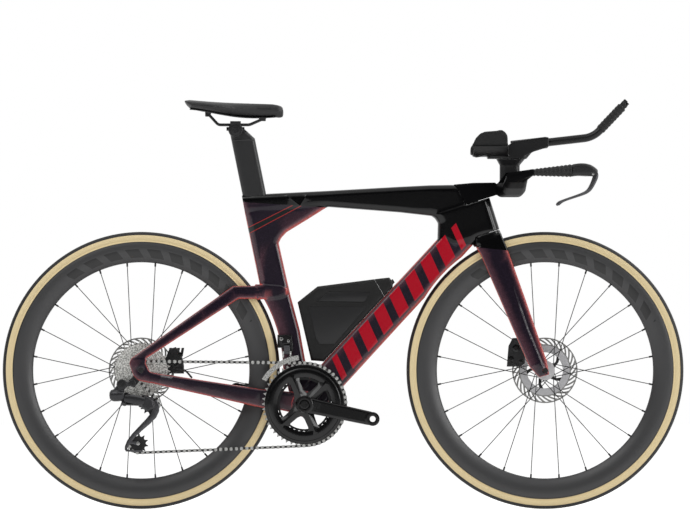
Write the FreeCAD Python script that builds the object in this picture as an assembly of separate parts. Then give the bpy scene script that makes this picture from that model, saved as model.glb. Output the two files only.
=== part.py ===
import FreeCAD, Part
import math
import os

# Time trial bike. Millimetres and degrees. +X forward, +Y the rider's left, +Z up.
# The origin is on the ground, midway between the axles, in the mid-plane.

# Geometry of the bike
wheelbase = 985.0
tyre_outer_radius = 338.0
bottom_bracket_drop = 82.8
chainstay_length = 406.8
head_angle = 72.5
fork_rake = 45.0
seat_angle = 78.5
crank_length = 170.0
crank_angle = -12.0

# Clearances
running_clearance = 0.05
sliding_clearance = 0.15
seam_gap = 0.6
seat_gap = 0.3
tyre_clearance = 7.5
front_tyre_clearance = 5.0

# Wheels
tyre_width = 26.0
tyre_seat_radius = 316.0
rim_edge_half_width = 10.5
rim_half_width = 14.0
rim_depth = 52.7
spoke_count = 24
spoke_radius = 1.0
nipple_radius = 2.2
nipple_length = 9.0
spoke_cross_angle = 62.0
spoke_side_offset = 1.8
front_flange_y = 22.0
front_flange_radius = 24.0
rear_flange_right_y = -18.0
rear_flange_left_y = 33.0
rear_flange_radius = 26.0
flange_thickness = 4.4
hub_shell_radius = 13.0
hub_cap_radius = 9.9
front_hub_width = 100.0
rear_hub_width = 142.0
axle_radius = 6.0
rotor_radius = 80.0
rotor_track = 15.0
rotor_thickness = 1.8
rotor_boss_radius = 17.0
rotor_arms = 6
rotor_slots = 30
front_rotor_y = 38.0
rear_rotor_y = 55.0

# Frame
seat_tube_half_width = 17.5
top_tube_half_width = 20.0
down_tube_half_width = 25.0
head_tube_half_width = 24.0
tube_edge_radius = 13.0
head_tube_bottom = 362.0
head_tube_top = 443.0
head_nose = 42.8
crown_recess_radius = 31.0
stem_recess_radius = 33.0
steerer_radius = 14.3
bearing_outer_radius = 20.9
bearing_height = 7.0
bracket_shell_radius = 31.0
bracket_shell_width = 85.5
bracket_bore_radius = 22.0
spindle_radius = 12.0
dropout_inner_y = 71.0
dropout_thickness = 9.0
wheel_slot_half_width = 18.2

# Seatpost and saddle
post_chord = 57.0
post_half_width = 13.0
post_rear = -46.4
post_bottom = 415.0
post_top = 660.0
post_travel = 60.0
clamp_forward = -31.4
clamp_up = 690.0
clamp_barrel_radius = 13.0
clamp_ear_radius = 17.7
clamp_length = 26.0
rail_radius = 3.5
rail_half_gauge = 22.0
rail_height = 12.0
saddle_half_width = 66.0
saddle_shell_thickness = 3.0
saddle_channel_width = 14.0
saddle_channel_depth = 9.0
# Distance along the rails, half width, top and bottom, each measured from the clamp
saddle_stations = [(-123, 34, 66, 60), (-112, 56, 71, 52), (-62, 66, 68.5, 45), (0, 44, 65.5, 34),
                   (52, 28, 64.5, 31), (98, 22, 63, 33), (117, 15, 57, 44)]

# Storage box
box_half_width = 23.0
box_edge_radius = 8.0

# Fork
leg_thickness = 10.0
leg_inner_at_hub = 50.3
leg_inner_at_crown = 18.2

# Bars
bar_forward = 91.0
bar_up = 462.0
bar_half_width = 190.0
stem_half_width = 22.0
grip_start = (66.5, 28.6)
grip_rise = 4.4
grip_length = 93.0
grip_root_radius = 7.6
grip_end_radius = 14.6
bar_core_radius = 6.0
lever_pivot = (210.5, 24.0)
lever_thickness = 8.6
lever_pin_radius = 2.5
extension_start = (12.4, 91.7)
extension_radius = 9.7
extension_y = 52.0
extension_sleeve_radius = 14.0
extension_rise = 6.5
extension_bend = 40.0
extension_bend_radius = 62.0
extension_straight = 197.7
extension_tip = 102.0
extension_grip_radius = 10.9
shifter_pod_radius = 8.6
shifter_pod_length = 18.0
shifter_notch_depth = 7.0
shift_button_radius = 3.2
shift_button_offset = 4.6
shift_button_height = 5.5
shift_button_depth = 4.0
shift_button_room = 1.5
cup_y = 76.0
cup_radius = 55.0
cup_wall = 3.0
cup_half_angle = 58.0
pad_thickness = 12.0
pad_half_angle = 90.0
pad_wall = 15.0
post_riser_half_width = 12.0

# Drivetrain
chain_pitch = 12.7
roller_radius = 3.87
roller_seat_clearance = 0.2
tooth_rise = 2.5
tooth_tip_half = 0.7
seat_half_turn = 1.15
sprocket_thickness = 1.6
plate_height = 8.2
inner_plate_in = 1.15
inner_plate_out = 1.9
outer_plate_in = 1.97
outer_plate_out = 2.62
chain_pin_radius = 1.6
ring_teeth = 50
small_ring_teeth = 34
ring_y = -47.5
small_ring_y = -40.9
ring_inner_radius = 74.0
ring_bolt_circle = 55.0
ring_bolt_radius = 4.5
spider_angles = (57.0, 126.0, -57.0, -126.0)
cog_teeth = (11, 12, 13, 14, 15, 17, 19, 21, 24, 27, 30, 34)
cog_y = -66.0
cog_spacing = 3.6
carrier_radius = 17.0
pulley_teeth = 11
pulley_bore_radius = 4.0
guide_dx = 21.5
guide_dz = -83.0
cage_length = 99.3
cage_angle = 252.8
cage_plate_gap = 4.0
cage_plate_thickness = 1.6
# The curved outer plate, as distances from the rear axle
cage_outline = [(43.4, -79.5), (43.4, -93.9), (39.3, -107.4), (28.5, -121), (14.9, -134.7), (5.9, -147.9),
                (2.7, -162.5), (3.4, -177.1), (4.6, -191.8), (-2.7, -199.1), (-33.9, -198.4), (-40.3, -189.3),
                (-28.5, -169.8), (-12.2, -148.1), (4.1, -126.4), (12, -102), (9, -83)]
arm_thickness = 14.0
arm_root_width = 39.0
arm_tip_width = 34.0
arm_outer_y = 73.0
pedal_thread_radius = 7.14

# Rear derailleur linkage
link_length = 48.0
link_rest_angle = 29.0
link_tilt = 18.0
link_slant = 32.0
link_spacing = 15.0
link_height = 14.0
link_thickness = 7.0
pivot_pin_radius = 2.0
lug_thickness = 3.5
link_base = (-38.0, -72.0, -70.0)
hanger_bolt_radius = 6.0

# Front derailleur
mech_link_length = 18.0
mech_link_angle = 20.0
mech_pivot_y = -36.5
mech_pivot_up = 143.0
mech_pivot_back = 43.0
mech_cage_inner_radius = 109.0
mech_cage_outer_radius = 121.0
mech_outer_plate_y = -54.0
mech_inner_plate_y = -40.2
mech_plate_thickness = 1.4

V = FreeCAD.Vector
across = V(0, 1, 0)
parts = {}

rear_axle = V(-wheelbase / 2, 0, tyre_outer_radius)
front_axle = V(wheelbase / 2, 0, tyre_outer_radius)
bracket_reach = math.sqrt(chainstay_length ** 2 - bottom_bracket_drop ** 2)
bracket = rear_axle + V(bracket_reach, 0, -bottom_bracket_drop)

head_up = V(-math.cos(math.radians(head_angle)), 0, math.sin(math.radians(head_angle)))
head_forward = V(math.sin(math.radians(head_angle)), 0, math.cos(math.radians(head_angle)))
steering_foot = front_axle - head_forward * fork_rake
seat_up = V(-math.cos(math.radians(seat_angle)), 0, math.sin(math.radians(seat_angle)))
seat_forward = V(math.sin(math.radians(seat_angle)), 0, math.cos(math.radians(seat_angle)))


def head(forward, up, y=0.0):
    """A point by its distance ahead of the steering axis and along it."""
    return steering_foot + head_forward * forward + head_up * up + across * y


def seat(forward, up, y=0.0):
    """A point by its distance ahead of the seat axis and along it, from the bottom bracket."""
    return bracket + seat_forward * forward + seat_up * up + across * y


def rear(dx, dz, y=0.0):
    return rear_axle + V(dx, y, dz)


def from_bracket(dx, dz, y=0.0):
    return bracket + V(dx, y, dz)


bar_centre = head(bar_forward, bar_up)
saddle_clamp_point = seat(clamp_forward, clamp_up)


def bar(dx, dz, y=0.0):
    return bar_centre + V(dx, y, dz)


def at_clamp(dx, dz, y=0.0):
    return saddle_clamp_point + V(dx, y, dz)


# Small tools for shapes

def line(a, b):
    return Part.LineSegment(a, b).toShape()


def arc(a, mid, b):
    return Part.Arc(a, mid, b).toShape()


def rounded_wire(origin, along, side, length, half_width, radius):
    """A rounded rectangle that starts at origin, runs along and spreads to both sides."""
    r = min(radius, 0.49 * length, 0.98 * half_width)
    k = r * (1 - math.sqrt(0.5))
    w = half_width

    def at(t, s):
        return origin + along * t + side * s

    corners = [
        (at(length - r, -w), at(length - k, -w + k), at(length, -w + r)),
        (at(length, w - r), at(length - k, w - k), at(length - r, w)),
        (at(r, w), at(k, w - k), at(0, w - r)),
        (at(0, -w + r), at(k, -w + k), at(r, -w)),
    ]
    edges = []
    for i, corner in enumerate(corners):
        edges.append(line(corners[i - 1][2], corner[0]))
        edges.append(arc(*corner))
    return Part.Wire(edges)


def tube_section(a, b, half_width, radius, y=0.0):
    """The section of a tube between two edge points in the mid-plane, shifted sideways by y."""
    along = b - a
    length = along.Length
    return rounded_wire(a + across * y, along.normalize(), across, length, half_width, radius)


def loft(wires, ruled=True):
    return Part.makeLoft(wires, True, ruled)


def prism(points, y_low, y_high):
    """An outline in the mid-plane, pushed from one y to another."""
    ring = [V(p.x, y_low, p.z) for p in points]
    face = Part.Face(Part.makePolygon(ring + [ring[0]]))
    return face.extrude(across * (y_high - y_low))


def cylinder(a, b, radius):
    return Part.makeCylinder(radius, (b - a).Length, a, b - a)


def tube(a, b, outer, inner):
    return cylinder(a, b, outer).cut(cylinder(a, b, inner))


def turned(profile, centre, axis, out):
    """A solid of revolution: the profile's points are (along the axis, radius)."""
    ring = [centre + axis * t + out * r for t, r in profile]
    face = Part.Face(Part.makePolygon(ring + [ring[0]]))
    return face.revolve(centre, axis, 360)


def pipe(points, radius, bends):
    """A round tube along straight runs joined by tangent arcs."""
    edges = []
    start = points[0]
    for i in range(1, len(points) - 1):
        corner = points[i]
        into = (corner - points[i - 1]).normalize()
        away = (points[i + 1] - corner).normalize()
        turn = into.getAngle(away)
        reach = bends[i - 1] * math.tan(turn / 2)
        first = corner - into * reach
        last = corner + away * reach
        inward = (away - into).normalize()
        mid = corner + inward * (bends[i - 1] / math.cos(turn / 2) - bends[i - 1])
        edges.append(line(start, first))
        edges.append(arc(first, mid, last))
        start = last
    edges.append(line(start, points[-1]))
    path = Part.Wire(edges)
    ring = Part.Wire(Part.makeCircle(radius, points[0], points[1] - points[0]))
    return path.makePipeShell([ring], True, True)


def fuse(shapes):
    return shapes[0].multiFuse(shapes[1:])


def placed(shape, origin, x_axis, z_axis):
    """Moves a shape made about the world axes to an origin with its own x and z axes."""
    y_axis = z_axis.cross(x_axis)
    turn = FreeCAD.Matrix(
        x_axis.x, y_axis.x, z_axis.x, origin.x,
        x_axis.y, y_axis.y, z_axis.y, origin.y,
        x_axis.z, y_axis.z, z_axis.z, origin.z,
        0, 0, 0, 1)
    moved = shape.copy()
    moved.Placement = FreeCAD.Placement(turn)
    return moved


def box(low, high):
    return Part.makeBox(high.x - low.x, high.y - low.y, high.z - low.z, low)


def solids(shape):
    return Part.makeCompound(shape.Solids)


# Frame

def steering_turn(profile):
    return turned([(up, radius) for radius, up in profile], steering_foot, head_up, head_forward)


def head_box(forward_low, forward_high, up_low, up_high, half_width):
    size = (forward_high - forward_low, 2 * half_width, up_high - up_low)
    block = Part.makeBox(size[0], size[1], size[2], V(forward_low, -half_width, up_low))
    return placed(block, steering_foot, head_forward, head_up)


def stem_envelope(gap):
    """The cone about the steering axis that the stem's back turns in."""
    bottom = head_tube_top + seam_gap - gap
    profile = [(0, bottom), (stem_recess_radius - 6 + gap, bottom),
               (stem_recess_radius - 5 + gap, bottom + 11), (stem_recess_radius + gap, head_tube_top + 58),
               (stem_recess_radius + 5 + gap, head_tube_top + 100), (0, head_tube_top + 100)]
    return steering_turn(profile)


def crown_envelope(gap):
    """The round back of the fork crown, and the recess that it turns in."""
    top = head_tube_bottom - seam_gap + gap
    profile = [(0, top), (crown_recess_radius - 3 + gap, top), (crown_recess_radius - 2 + gap, top - 7),
               (crown_recess_radius + gap, top - 17), (crown_recess_radius + gap, top - 70), (0, top - 70)]
    return steering_turn(profile)


def top_tube():
    w = top_tube_half_width
    return loft([
        tube_section(seat(-48.5, 531), seat(-49.5, 480), seat_tube_half_width, tube_edge_radius),
        tube_section(seat(161, 499), seat(153, 460), w - 1.5, tube_edge_radius),
        tube_section(head(-157.6, 533.8), head(-176.5, 473.7), w, tube_edge_radius),
        tube_section(head(-86, 515), head(-108.5, 443.4), w + 2, tube_edge_radius),
        tube_section(head(-2, 490), head(-5, 400), w + 2, tube_edge_radius),
    ])


def seat_tube():
    stations = [(0, -30, 28, 10), (108, -34, 23.3, 1.5), (180, -46, 24.9, 0.5), (262, -49.5, 20, 0),
                (313, -49.2, 18.6, 0), (398, -49.4, 17, 0), (409, -49.5, 26, 0), (419.6, -49.5, 40.6, 0),
                (440, -49.6, 97, 0), (460, -49.7, 150, 0), (484, -49.8, 120, 0)]
    wires = []
    for up, back, front, wider in stations:
        half = seat_tube_half_width + wider
        wires.append(tube_section(seat(back, up), seat(front, up), half, tube_edge_radius))
    return loft(wires)


def down_tube():
    w = down_tube_half_width
    return loft([
        tube_section(head(-72, 405.5), head(4.6, 365), w - 1, tube_edge_radius + 1),
        tube_section(from_bracket(46, 103), from_bracket(96.4, 45), w + 1, tube_edge_radius + 1),
        tube_section(from_bracket(-10, 40), from_bracket(40, -22), w + 5, tube_edge_radius + 1),
    ])


def head_tube():
    w = head_tube_half_width
    stations = [(head_tube_bottom, -88, 1), (385, -109, 0.5), (421, -96.5, 0.2), (434, -100, 0.1),
                (head_tube_top, -107, 0)]
    wires = []
    for up, back, wider in stations:
        wires.append(tube_section(head(back, up), head(head_nose, up), w + wider, w - 3))
    return loft(wires)


def seat_stay(side):
    stations = [(300, 207, 300, 174, 6, 20), (223.9, 205.9, 237.5, 174.6, 19.5, 33),
                (-22, 31, 12, 29, dropout_inner_y - 0.5, dropout_inner_y + dropout_thickness)]
    wires = []
    for x1, z1, x2, z2, inner, outer in stations:
        middle = side * (inner + outer) / 2
        wires.append(tube_section(rear(x1, z1), rear(x2, z2), (outer - inner) / 2, 5, middle))
    return loft(wires)


def chain_stay(side):
    middle = (78, -13.1, -43.3, 50, 66) if side < 0 else (78, -13.1, -43.3, 60, 75)
    stations = [(18, -2, -29, dropout_inner_y, dropout_inner_y + dropout_thickness),
                (46, -8.5, -35.5, 67, 79.5), middle, (165, -26.4, -62.6, 25, 45),
                (292, -45.8, -90.6, 19, 34.5), (345, -50, -98, 19, 34.5), (bracket_reach, -56, -110, 9, 34.5)]
    wires = []
    for dx, upper, lower, inner, outer in stations:
        a = rear(dx, upper)
        b = rear(dx, lower)
        wires.append(tube_section(a, b, (outer - inner) / 2, 5.5, side * (inner + outer) / 2))
    return loft(wires)


def dropout(side):
    outline = [(-22.1, 31.2), (-26.5, 24), (-28.4, 15.6), (-23.1, 0.9), (-17.7, -13.7), (-8.9, -22.5),
               (-4, -25.2), (24, -31), (24, -4.5), (18.9, 0.5), (11.1, 18), (13.3, 24.4), (11.8, 29)]
    low = dropout_inner_y if side > 0 else -dropout_inner_y - dropout_thickness
    return prism([rear(x, z) for x, z in outline], low, low + dropout_thickness)


def seatpost_solid(low, high, gap):
    wires = []
    for up in (low, high):
        a = seat(post_rear - gap, up)
        b = seat(post_rear + post_chord + gap, up)
        wires.append(tube_section(a, b, post_half_width + gap, post_half_width - 2))
    return loft(wires)


def wedge_prism(gap):
    points = [seat(54 - gap, 520), seat(56.7 - gap, 511.4), seat(85.8, 476.8 - gap), seat(109.8 + gap, 503.1),
              seat(114 + gap, 512)]
    return prism(points, -top_tube_half_width - 9, top_tube_half_width + 9)


def wheel_slot(axle, gap, half_width):
    return cylinder(axle - across * half_width, axle + across * half_width, tyre_outer_radius + gap)


def make_frame():
    shell = cylinder(bracket - across * bracket_shell_width / 2, bracket + across * bracket_shell_width / 2,
                     bracket_shell_radius)
    cutaway = wheel_slot(rear_axle, tyre_clearance + 0.5, 2 * seat_tube_half_width)
    tubes = [top_tube(), seat_tube().cut(cutaway), down_tube(), head_tube(), shell]
    for side in (-1, 1):
        tubes += [seat_stay(side), chain_stay(side), dropout(side)]
    body = fuse(tubes)
    lower_bearing_top = head_tube_bottom + bearing_height
    upper_bearing_low = head_tube_top - bearing_height
    cuts = [
        wheel_slot(rear_axle, tyre_clearance, wheel_slot_half_width),
        wheel_slot(front_axle, front_tyre_clearance, 2 * down_tube_half_width),
        stem_envelope(seam_gap),
        head_box(0, 200, head_tube_top, 700, 60),
        crown_envelope(seam_gap),
        head_box(0, 200, 200, head_tube_bottom, 60),
        cylinder(head(0, head_tube_bottom - 5), head(0, head_tube_top + 5), steerer_radius + 2),
        cylinder(head(0, head_tube_bottom - 5), head(0, lower_bearing_top), bearing_outer_radius),
        cylinder(head(0, upper_bearing_low), head(0, head_tube_top + 5), bearing_outer_radius),
        seatpost_solid(post_bottom - post_travel - 5, post_top, sliding_clearance),
        cylinder(bracket - across * 60, bracket + across * 60, bracket_bore_radius),
        cylinder(rear_axle - across * 90, rear_axle + across * 90, axle_radius),
        wedge_prism(0),
    ]
    body = body.cut(cuts)
    return max(body.Solids, key=lambda s: s.Volume)


def make_frame_group():
    parts["frame"] = make_frame()
    parts["seat_wedge_cover"] = top_tube().common(wedge_prism(-seat_gap))
    cups = []
    for side in (-1, 1):
        a = bracket + across * side * (bracket_shell_width / 2 - 9)
        b = bracket + across * side * (bracket_shell_width / 2 + 0.3)
        cups.append(tube(a, b, bracket_bore_radius, spindle_radius + running_clearance))
    parts["bottom_bracket_cups"] = Part.makeCompound(cups)
    bearings = []
    for low in (head_tube_bottom, head_tube_top - bearing_height):
        bearings.append(tube(head(0, low), head(0, low + bearing_height), bearing_outer_radius,
                             steerer_radius + running_clearance))
    parts["headset_bearings"] = Part.makeCompound(bearings)
    parts["rear_thru_axle"] = thru_axle(rear_axle, dropout_inner_y + dropout_thickness)


def thru_axle(axle, half):
    """A rod from one dropout to the other, with its head outside the left one."""
    end = axle + across * (half + 3)
    rod = cylinder(axle - across * half, end, axle_radius - running_clearance)
    return rod.fuse(cylinder(axle + across * (half + 0.1), end + across, axle_radius + 2.5))


# Storage box in the main triangle

def box_outline():
    low = from_bracket(46, 103)
    high = head(-111, 383)
    along = (high - low).normalize()
    lift = V(-along.z, 0, along.x) * seat_gap
    start = low + lift + along * 2
    return [from_bracket(-17, 249), from_bracket(31.7, 287.7), from_bracket(184.7, 307.2),
            from_bracket(207, 309.5), from_bracket(216, 298), start + along * 247, start,
            from_bracket(16, 107)]


def make_storage_box():
    points = box_outline()
    whole = prism(points, -box_half_width, box_half_width)
    long_edges = [e for e in whole.Edges if abs(e.BoundBox.YLength) < 0.01]
    whole = whole.makeFillet(box_edge_radius, long_edges)
    seam_top = from_bracket(162, 320)
    seam_low = from_bracket(200, 255)
    ahead = [from_bracket(260, 330), from_bracket(260, 240)]
    nose = whole.common(prism([seam_top] + ahead + [seam_low], -60, 60))
    gap = V(-seat_gap, 0, 0)
    body = whole.cut(prism([seam_top + gap] + ahead + [seam_low + gap], -60, 60))
    recess = [from_bracket(29.5, 251), from_bracket(59, 276), from_bracket(160, 274), from_bracket(145, 249)]
    for side in (-1, 1):
        low = min(side * (box_half_width - 1.5), side * (box_half_width + 5))
        body = body.cut(prism(recess, low, low + 6.5))
    parts["storage_box"] = Part.makeCompound([max(body.Solids, key=lambda s: s.Volume), nose.Solids[0]])


# Seatpost and saddle

def make_seatpost():
    post = seatpost_solid(post_bottom, post_top, 0)
    top = tube_section(seat(post_rear, post_top), seat(post_rear + post_chord, post_top), post_half_width, 11)
    neck_rear = seat(clamp_forward - 15, clamp_up)
    neck = tube_section(neck_rear, seat(clamp_forward + 20, clamp_up), post_half_width, 11)
    ear = cylinder(at_clamp(0, 0, -post_half_width), at_clamp(0, 0, post_half_width), clamp_ear_radius)
    bore = cylinder(at_clamp(0, 0, -40), at_clamp(0, 0, 40), clamp_barrel_radius + running_clearance)
    parts["seatpost"] = fuse([post, loft([top, neck]), ear]).cut(bore)


def make_saddle_clamp():
    reach = post_half_width + 3
    pieces = [cylinder(at_clamp(0, 0, -reach), at_clamp(0, 0, reach), clamp_barrel_radius)]
    half = clamp_length / 2
    for side in (-1, 1):
        y_low = side * 22.3 - 8.2
        disc = cylinder(at_clamp(0, 0, y_low), at_clamp(0, 0, y_low + 16.4), clamp_ear_radius - 1)
        cradle = box(at_clamp(-half, 0, y_low), at_clamp(half, rail_height + 9, y_low + 16.4))
        pieces += [disc, cradle]
    body = fuse(pieces)
    for side in (-1, 1):
        y = side * rail_half_gauge
        ends = (at_clamp(-60, rail_height, y), at_clamp(60, rail_height, y))
        body = body.cut(cylinder(ends[0], ends[1], rail_radius + running_clearance))
    parts["saddle_clamp"] = body


def saddle_wire(dx, half_width, top, bottom):
    """A crowned top, sides that draw in, and a flat underside."""
    w = half_width * saddle_half_width / 66.0
    shoulder = bottom + 0.72 * (top - bottom)
    left = at_clamp(dx, shoulder, w)
    right = at_clamp(dx, shoulder, -w)
    low_left = at_clamp(dx, bottom, 0.74 * w)
    low_right = at_clamp(dx, bottom, -0.74 * w)
    bulge = bottom + 0.42 * (top - bottom)
    return Part.Wire([
        arc(right, at_clamp(dx, top, 0), left),
        arc(left, at_clamp(dx, bulge, 0.95 * w), low_left),
        line(low_left, low_right),
        arc(low_right, at_clamp(dx, bulge, -0.95 * w), right),
    ])


def make_saddle():
    cover = loft([saddle_wire(*s) for s in saddle_stations], False)
    ends = (-70, 106)
    half = saddle_channel_width / 2
    slot = fuse([
        box(at_clamp(ends[0], 40, -half), at_clamp(ends[1] + 30, 90, half)),
        cylinder(at_clamp(ends[0], 40), at_clamp(ends[0], 90), half),
    ])
    floor_wires = []
    for dx, w, top, bottom in saddle_stations:
        low = at_clamp(dx, top - saddle_channel_depth)
        floor_wires.append(tube_section(low, at_clamp(dx, top + 30), 20, 2))
    cover = cover.cut(slot.common(loft(floor_wires, False)))
    parts["saddle_cover"] = max(cover.Solids, key=lambda s: s.Volume)
    shell_wires = []
    for dx, w, top, bottom in saddle_stations[1:-1]:
        a = at_clamp(dx, bottom - seat_gap)
        b = at_clamp(dx, bottom - seat_gap - saddle_shell_thickness)
        shell_wires.append(tube_section(a, b, 0.72 * w * saddle_half_width / 66.0, 1.4))
    shell = loft(shell_wires, False)
    sockets = []
    for side in (-1, 1):
        y = side * rail_half_gauge
        sockets.append(box(at_clamp(-74, 32, y - 6), at_clamp(-60, 47, y + 6)))
        sockets.append(box(at_clamp(58, 21, y * 0.5 - 5), at_clamp(74, 31, y * 0.5 + 5)))
    shell = fuse([shell] + sockets)
    rails = []
    for side in (-1, 1):
        y = side * rail_half_gauge
        points = [at_clamp(-66, 38, y), at_clamp(-42, rail_height, y), at_clamp(34, rail_height, y),
                  at_clamp(66, 26, y * 0.5)]
        rails.append(pipe(points, rail_radius, [14, 20]))
    rail_set = Part.makeCompound(rails)
    parts["saddle_shell"] = shell.cut(parts["saddle_cover"]).cut(rail_set)
    parts["saddle_rails"] = rail_set


# Fork and front end

def fork_leg(side, turning):
    """One leg; near the frame it stays inside the shape that the crown turns in."""
    spread = leg_inner_at_hub - leg_inner_at_crown
    middle = leg_inner_at_crown + 0.42 * spread
    t = leg_thickness
    stations = [(352, -27, 43, leg_inner_at_crown - 7, leg_inner_at_crown + 8),
                (318, -20, 46.5, leg_inner_at_crown, leg_inner_at_crown + t + 3),
                (187, -6.5, 51.5, middle, middle + t + 1),
                (20, 11, 56, leg_inner_at_hub, leg_inner_at_hub + t),
                (-12, 26, 52, leg_inner_at_hub, leg_inner_at_hub + t)]
    wires = []
    for up, back, front, inner, outer in stations:
        shift = side * (inner + outer) / 2
        wires.append(tube_section(head(back, up), head(front, up), (outer - inner) / 2, 5, shift))
    below = head_box(-80, 120, -60, head_tube_bottom - 26, 90)
    return loft(wires).common(fuse([turning, below]))


def make_fork():
    crown_top = head_tube_bottom - seam_gap
    crown = loft([
        tube_section(head(-26, crown_top), head(head_nose - 0.5, crown_top), head_tube_half_width + 1, 20),
        tube_section(head(-31, 345), head(44.5, 345), head_tube_half_width + 4, 20),
        tube_section(head(-21, 316), head(47, 316), leg_inner_at_crown + 13, 14),
    ])
    turning = crown_envelope(0).fuse(head_box(0, 120, 200, crown_top, 80))
    crown = crown.common(turning)
    steerer = cylinder(head(0, 350), head(0, head_tube_top + 32), steerer_radius)
    body = fuse([crown, fork_leg(-1, turning), fork_leg(1, turning), steerer])
    slot = wheel_slot(front_axle, tyre_clearance, wheel_slot_half_width)
    body = body.cut([slot, cylinder(front_axle - across * 90, front_axle + across * 90, axle_radius)])
    parts["fork"] = max(body.Solids, key=lambda s: s.Volume)
    parts["front_thru_axle"] = thru_axle(front_axle, leg_inner_at_hub + leg_thickness)


def make_stem():
    w = stem_half_width
    bottom = head_tube_top + seam_gap
    body = loft([
        tube_section(bar(-140, -2), bar(-140, -90), w - 2, 10),
        tube_section(bar(-80, 3.2), bar(-80, -80), w, 10),
        tube_section(bar(-25.4, 4), bar(-25.4, -36), w + 1, 10),
    ])
    above = head_box(-200, 300, bottom, 700, 80)
    turning = stem_envelope(0).fuse(head_box(0, 200, bottom, 700, 80))
    body = body.common(above).common(turning)
    steerer_end = head(0, head_tube_top + 33)
    bore = cylinder(head(0, head_tube_top - 10), steerer_end, steerer_radius + running_clearance)
    parts["stem"] = max(body.cut(bore).Solids, key=lambda s: s.Volume)


def bar_wing(side):
    stations = [(0, -25.1, 43, -32, 4), (28, -25.1, 43, -32, 4), (62, -10, 48, -26, 4),
                (122, -6, 50, -11, 15), (bar_half_width - 26, 0, 53, 4, 29)]
    wires = []
    for y, back, front, low, high in stations:
        origin = bar(back, (low + high) / 2, side * y)
        wires.append(rounded_wire(origin, V(1, 0, 0), V(0, 0, side), front - back, (high - low) / 2, 15))
    tip = bar(66, 28.5, side * (bar_half_width + 11))
    wires.append(rounded_wire(tip, V(0, -side, 0), V(0, 0, side), 22, 8, 7.5))
    return loft(wires)


def make_bars():
    cores = []
    grips = []
    for side in (-1, 1):
        y = side * bar_half_width
        a = bar(grip_start[0], grip_start[1], y)
        b = bar(grip_start[0] + grip_length, grip_start[1] + grip_rise, y)
        way = (b - a).normalize()
        cores.append(cylinder(a - way * 6, b + way * 18, bar_core_radius))
        cone = Part.makeCone(grip_root_radius, grip_end_radius, (b - a).Length - 0.7, a + way * 0.3, way)
        grips.append(cone.cut(cylinder(a - way * 5, b + way * 5, bar_core_radius + running_clearance)))
    parts["base_bar"] = fuse([bar_wing(-1), bar_wing(1)] + cores)
    parts["bar_grips"] = Part.makeCompound(grips)
    make_hoods()


def make_hoods():
    hoods = []
    for side in (-1, 1):
        y = side * bar_half_width
        stations = [(160.3, 33, 14.6, 13.5), (190, 35, 15, 13), (213, 30.5, 11.5, 11.5), (222, 27, 7, 9)]
        wires = []
        for dx, dz, half_height, half_width in stations:
            origin = bar(dx, dz - half_height, y)
            wires.append(rounded_wire(origin, V(0, 0, 1), across, 2 * half_height, half_width, 9))
        body = loft(wires, False)
        a = bar(grip_start[0], grip_start[1], y)
        b = bar(grip_start[0] + grip_length, grip_start[1] + grip_rise, y)
        way = (b - a).normalize()
        half_slot = lever_thickness / 2 + seat_gap
        slot = box(bar(199, 0, y - half_slot), bar(240, 31.5, y + half_slot))
        body = body.cut([cylinder(b - way * 20, b + way * 18.2, bar_core_radius + running_clearance), slot])
        pivot = bar(lever_pivot[0], lever_pivot[1], y)
        pin = cylinder(pivot - across * 9.5, pivot + across * 9.5, lever_pin_radius)
        hoods.append(body.fuse(pin))
        parts["brake_lever_right" if side < 0 else "brake_lever_left"] = make_lever(pivot)
    parts["brake_hoods"] = Part.makeCompound(hoods)


def make_lever(pivot):
    outline = [(-5, 1), (4, 1), (1, -36), (-7, -50), (-84, -79.5), (-89, -76), (-87.5, -70.5), (-17, -43),
               (-10, -34)]
    half = lever_thickness / 2
    points = [pivot + V(x, 0, z) for x, z in outline]
    blade = prism(points, pivot.y - half, pivot.y + half)
    long_edges = [e for e in blade.Edges if abs(e.BoundBox.YLength) < 0.01]
    blade = blade.makeFillet(2.0, long_edges)
    eye = cylinder(pivot - across * half, pivot + across * half, 5.5)
    end = Part.makeSphere(6.0, pivot + V(-86, 0, -76))
    pin = cylinder(pivot - across * 20, pivot + across * 20, lever_pin_radius + running_clearance)
    return fuse([blade, eye, end]).cut(pin)


def extension_axis():
    rise = math.radians(extension_rise)
    return V(math.cos(rise), 0, math.sin(rise))


def make_riser():
    foot = rounded_wire(bar(-15.6, 4.3), V(1, 0, 0), across, 49, post_riser_half_width, 11)
    waist = rounded_wire(bar(-15.6, 46), V(1, 0, 0), across, 49, post_riser_half_width, 11)
    head_wire = rounded_wire(bar(-24, 61), V(1, 0, 0), across, 70, post_riser_half_width + 16, 11)
    parts["riser_post"] = loft([foot, waist, head_wire])


def make_bridge():
    pieces = []
    plate = rounded_wire(bar(-46, 61.3), V(1, 0, 0), across, 96, cup_y + 12, 14)
    pieces.append(Part.Face(plate).extrude(V(0, 0, 5)))
    way = extension_axis()
    bores = []
    for side in (-1, 1):
        a = bar(extension_start[0], extension_start[1], side * extension_y)
        b = a + way * 88
        pieces.append(cylinder(a, b, extension_sleeve_radius))
        foot = rounded_wire(bar(14, 62, side * extension_y), V(1, 0, 0), across, 36, 10, 6)
        shoulder = rounded_wire(bar(14, 93, side * extension_y), V(1, 0, 0), across, 62, 10, 6)
        pieces.append(loft([foot, shoulder]))
        bores.append(cylinder(a - way * 20, b + way * 20, extension_radius + running_clearance))
    parts["extension_bridge"] = fuse(pieces).cut(bores)


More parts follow.
